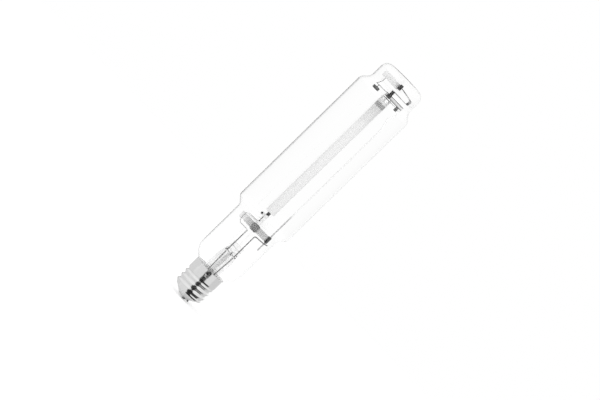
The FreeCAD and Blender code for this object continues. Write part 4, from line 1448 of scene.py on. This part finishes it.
@dataclass
class Studio:
    """A pale floor, soft light, a white surround with darker flags, and the camera.

    The scale is in millimetres for a pixel of the image, and the angles are in degrees. Each reach is a pair
    of distances on the floor, and each rise a pair of upward parts of a direction of length 1, between which
    a flag, the card or the shade fades.
    """

    tilt: float = 3.0
    axis_angle: float = 44.3
    distance: float = 2000.0
    scale: float = 1.096
    look_height: float = 172.2
    look_pixel: Point2 = (293.6, 188.3)
    image: tuple[int, int] = (600, 400)
    sensor: float = 36.0
    clip_start: float = 50.0
    floor_size: float = 3000.0
    floor_grey: float = 0.8
    floor_glow: float = 0.38
    ambient: float = 0.72
    light_size: float = 1200.0
    lights: tuple[tuple[str, Point3, float], ...] = (
        ("key light", (900.0, -1100.0, 1100.0), 7.5), ("fill light", (-1200.0, -600.0, 1300.0), 6.5))
    left_edge: Flag = Flag(-200.0, -140.0, 0.93)
    walls: tuple[Flag, ...] = (
        Flag(-200.0, -66.0, 0.3), Flag(-66.0, -8.0, 0.26), Flag(20.0, 70.0, 0.25), Flag(66.0, 138.0, 0.36))
    card: Flag = Flag(-7.0, 27.0, 0.98, soft=3.0)
    floor_shade: Flag = Flag(-8.0, 80.0, 0.95)
    card_reach: Point2 = (990.0, 1100.0)
    card_rise: Point2 = (-0.01, 0.02)
    edge_reach: Point2 = (400.0, 700.0)
    edge_rise: Point2 = (0.04, 0.12)
    shade_reach: Point2 = (100.0, 140.0)
    open_rise: Point2 = (0.1, 0.5)
    open_share: float = 0.4

    def darkness(self, graph: ShaderGraph, way: Field, card: Field, level: Any, edge: Any) -> Field:
        """How dark the studio looks to a mirror, by the bearing round the lamp.

        Args:
            graph: The tree.
            way: A direction or a place whose bearing counts.
            card: 1 where the dark card in front of the lamp reaches.
            level: How much of the flags is seen at the height of the direction.
            edge: How much is seen of the flag far behind, on the left.

        Returns:
            0 for white and 1 for black.
        """
        turn = graph.bearing(way)
        dark = self.left_edge.shown(graph, turn) * edge
        for flag in self.walls:
            dark = graph.math("MAXIMUM", dark, flag.shown(graph, turn))
        return graph.math("MAXIMUM", dark * level, self.card.shown(graph, turn) * card)

    def floor(self) -> None:
        """The pale floor, which keeps the shadow and shows a mirror the flags that stand on it."""
        half = self.floor_size / 2
        corners = [(-half, -half, 0.0), (half, -half, 0.0), (half, half, 0.0), (-half, half, 0.0)]
        mesh = new_mesh("floor", corners, faces=[(0, 1, 2, 3)])
        material = bpy.data.materials.new("pale floor")
        graph = ShaderGraph(material)
        paint = graph.field("ShaderNodeBsdfDiffuse", {"Color": grey(self.floor_grey)})
        glow = graph.field("ShaderNodeEmission", {
            "Color": grey(1.0), "Strength": graph.seen_directly() * self.floor_glow})
        plain = graph.field("ShaderNodeAddShader", {0: paint, 1: glow})
        place = graph.place()
        distance = graph.field("ShaderNodeVectorMath", {0: place}, "Value", operation="LENGTH") / MM
        near = 1.0 - graph.smooth_step(distance, *self.card_reach)
        far = graph.smooth_step(distance, *self.edge_reach)
        close = 1.0 - graph.smooth_step(distance, *self.shade_reach)
        below = self.floor_shade.shown(graph, graph.bearing(place)) * close
        dark = graph.math("MAXIMUM", self.darkness(graph, place, near, 1.0, far), below)
        shaded = graph.field("ShaderNodeEmission", {"Color": grey(1.0), "Strength": 1.0 - dark})
        both = graph.field("ShaderNodeMixShader", {0: graph.mirrored(), 1: plain, 2: shaded})
        graph.add("ShaderNodeOutputMaterial", {"Surface": both})
        mesh.materials.append(material)
        scene_object("floor", mesh)

    def surround(self) -> None:
        """White where it is seen, with darker flags that only mirrors show."""
        world = bpy.data.worlds.new("studio")
        bpy.context.scene.world = world
        graph = ShaderGraph(world)
        way = graph.field("ShaderNodeTexCoord", output="Generated")
        rise = graph.field("ShaderNodeSeparateXYZ", {0: way}, "Z")
        card = graph.smooth_step(rise, *self.card_rise)
        level = 1.0 - graph.smooth_step(rise, *self.open_rise) * self.open_share
        edge = 1.0 - graph.smooth_step(rise, *self.edge_rise)
        dark = self.darkness(graph, way, card, level, edge)
        shown = graph.seen_directly()
        strength = (1.0 - shown) * self.ambient + shown * (1.0 - dark * graph.mirrored())
        background = graph.field("ShaderNodeBackground", {"Color": grey(1.0), "Strength": strength})
        graph.add("ShaderNodeOutputWorld", {"Surface": background})

    def light(self, name: str, place: Point3, power: float) -> None:
        """A square soft light aimed at the lamp's middle.

        Args:
            name: Its name.
            place: Its place.
            power: Its power in watts.
        """
        data = bpy.data.lights.new(name, "AREA")
        data.size = self.light_size * MM
        data.energy = power
        light = scene_object(name, data)
        light.visible_glossy = False
        light.location = Vector(place) * MM
        light.rotation_mode = "QUATERNION"
        aim = Vector((0.0, 0.0, self.look_height))
        light.rotation_quaternion = (aim - Vector(place)).to_track_quat("-Z", "Y")

    def camera(self) -> None:
        """A camera square to the lamp's front and rolled, so that the lamp leans as photographed."""
        tilt = math.radians(self.tilt)
        roll = math.radians(90 - self.axis_angle)
        ahead = Vector((0, math.cos(tilt), -math.sin(tilt)))
        level_right = Vector((1, 0, 0))
        level_up = level_right.cross(ahead)
        right = level_right * math.cos(roll) + level_up * math.sin(roll)
        up = level_up * math.cos(roll) - level_right * math.sin(roll)
        aside = self.look_pixel[0] - self.image[0] / 2
        above = self.image[1] / 2 - self.look_pixel[1]
        aim = Vector((0, 0, self.look_height)) - (right * aside + up * above) * self.scale
        data = bpy.data.cameras.new("camera")
        data.sensor_width = self.sensor
        data.lens = self.distance / self.scale * self.sensor / self.image[0]
        data.clip_start = self.clip_start * MM
        camera = scene_object("camera", data)
        camera.rotation_mode = "QUATERNION"
        camera.rotation_quaternion = Matrix((right, up, -ahead)).transposed().to_quaternion()
        camera.location = (aim - ahead * self.distance) * MM
        bpy.context.scene.camera = camera

    def build(self) -> None:
        """Sets the whole studio."""
        bpy.context.scene.view_settings.view_transform = "Standard"
        self.camera()
        self.floor()
        self.surround()
        for name, place, power in self.lights:
            self.light(name, place, power)


def main() -> None:
    """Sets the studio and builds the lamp."""
    logging.basicConfig(level=logging.INFO, format="%(name)s %(message)s")
    Studio().build()
    for group in (Bulb(), Stem(), Cap(), Wires(), Bridge(), ArcTube(), FrameHead()):
        group.build()
        LOG.info("%s is built", type(group).__name__)
    bpy.context.view_layer.update()


if __name__ == "__main__":
    main()
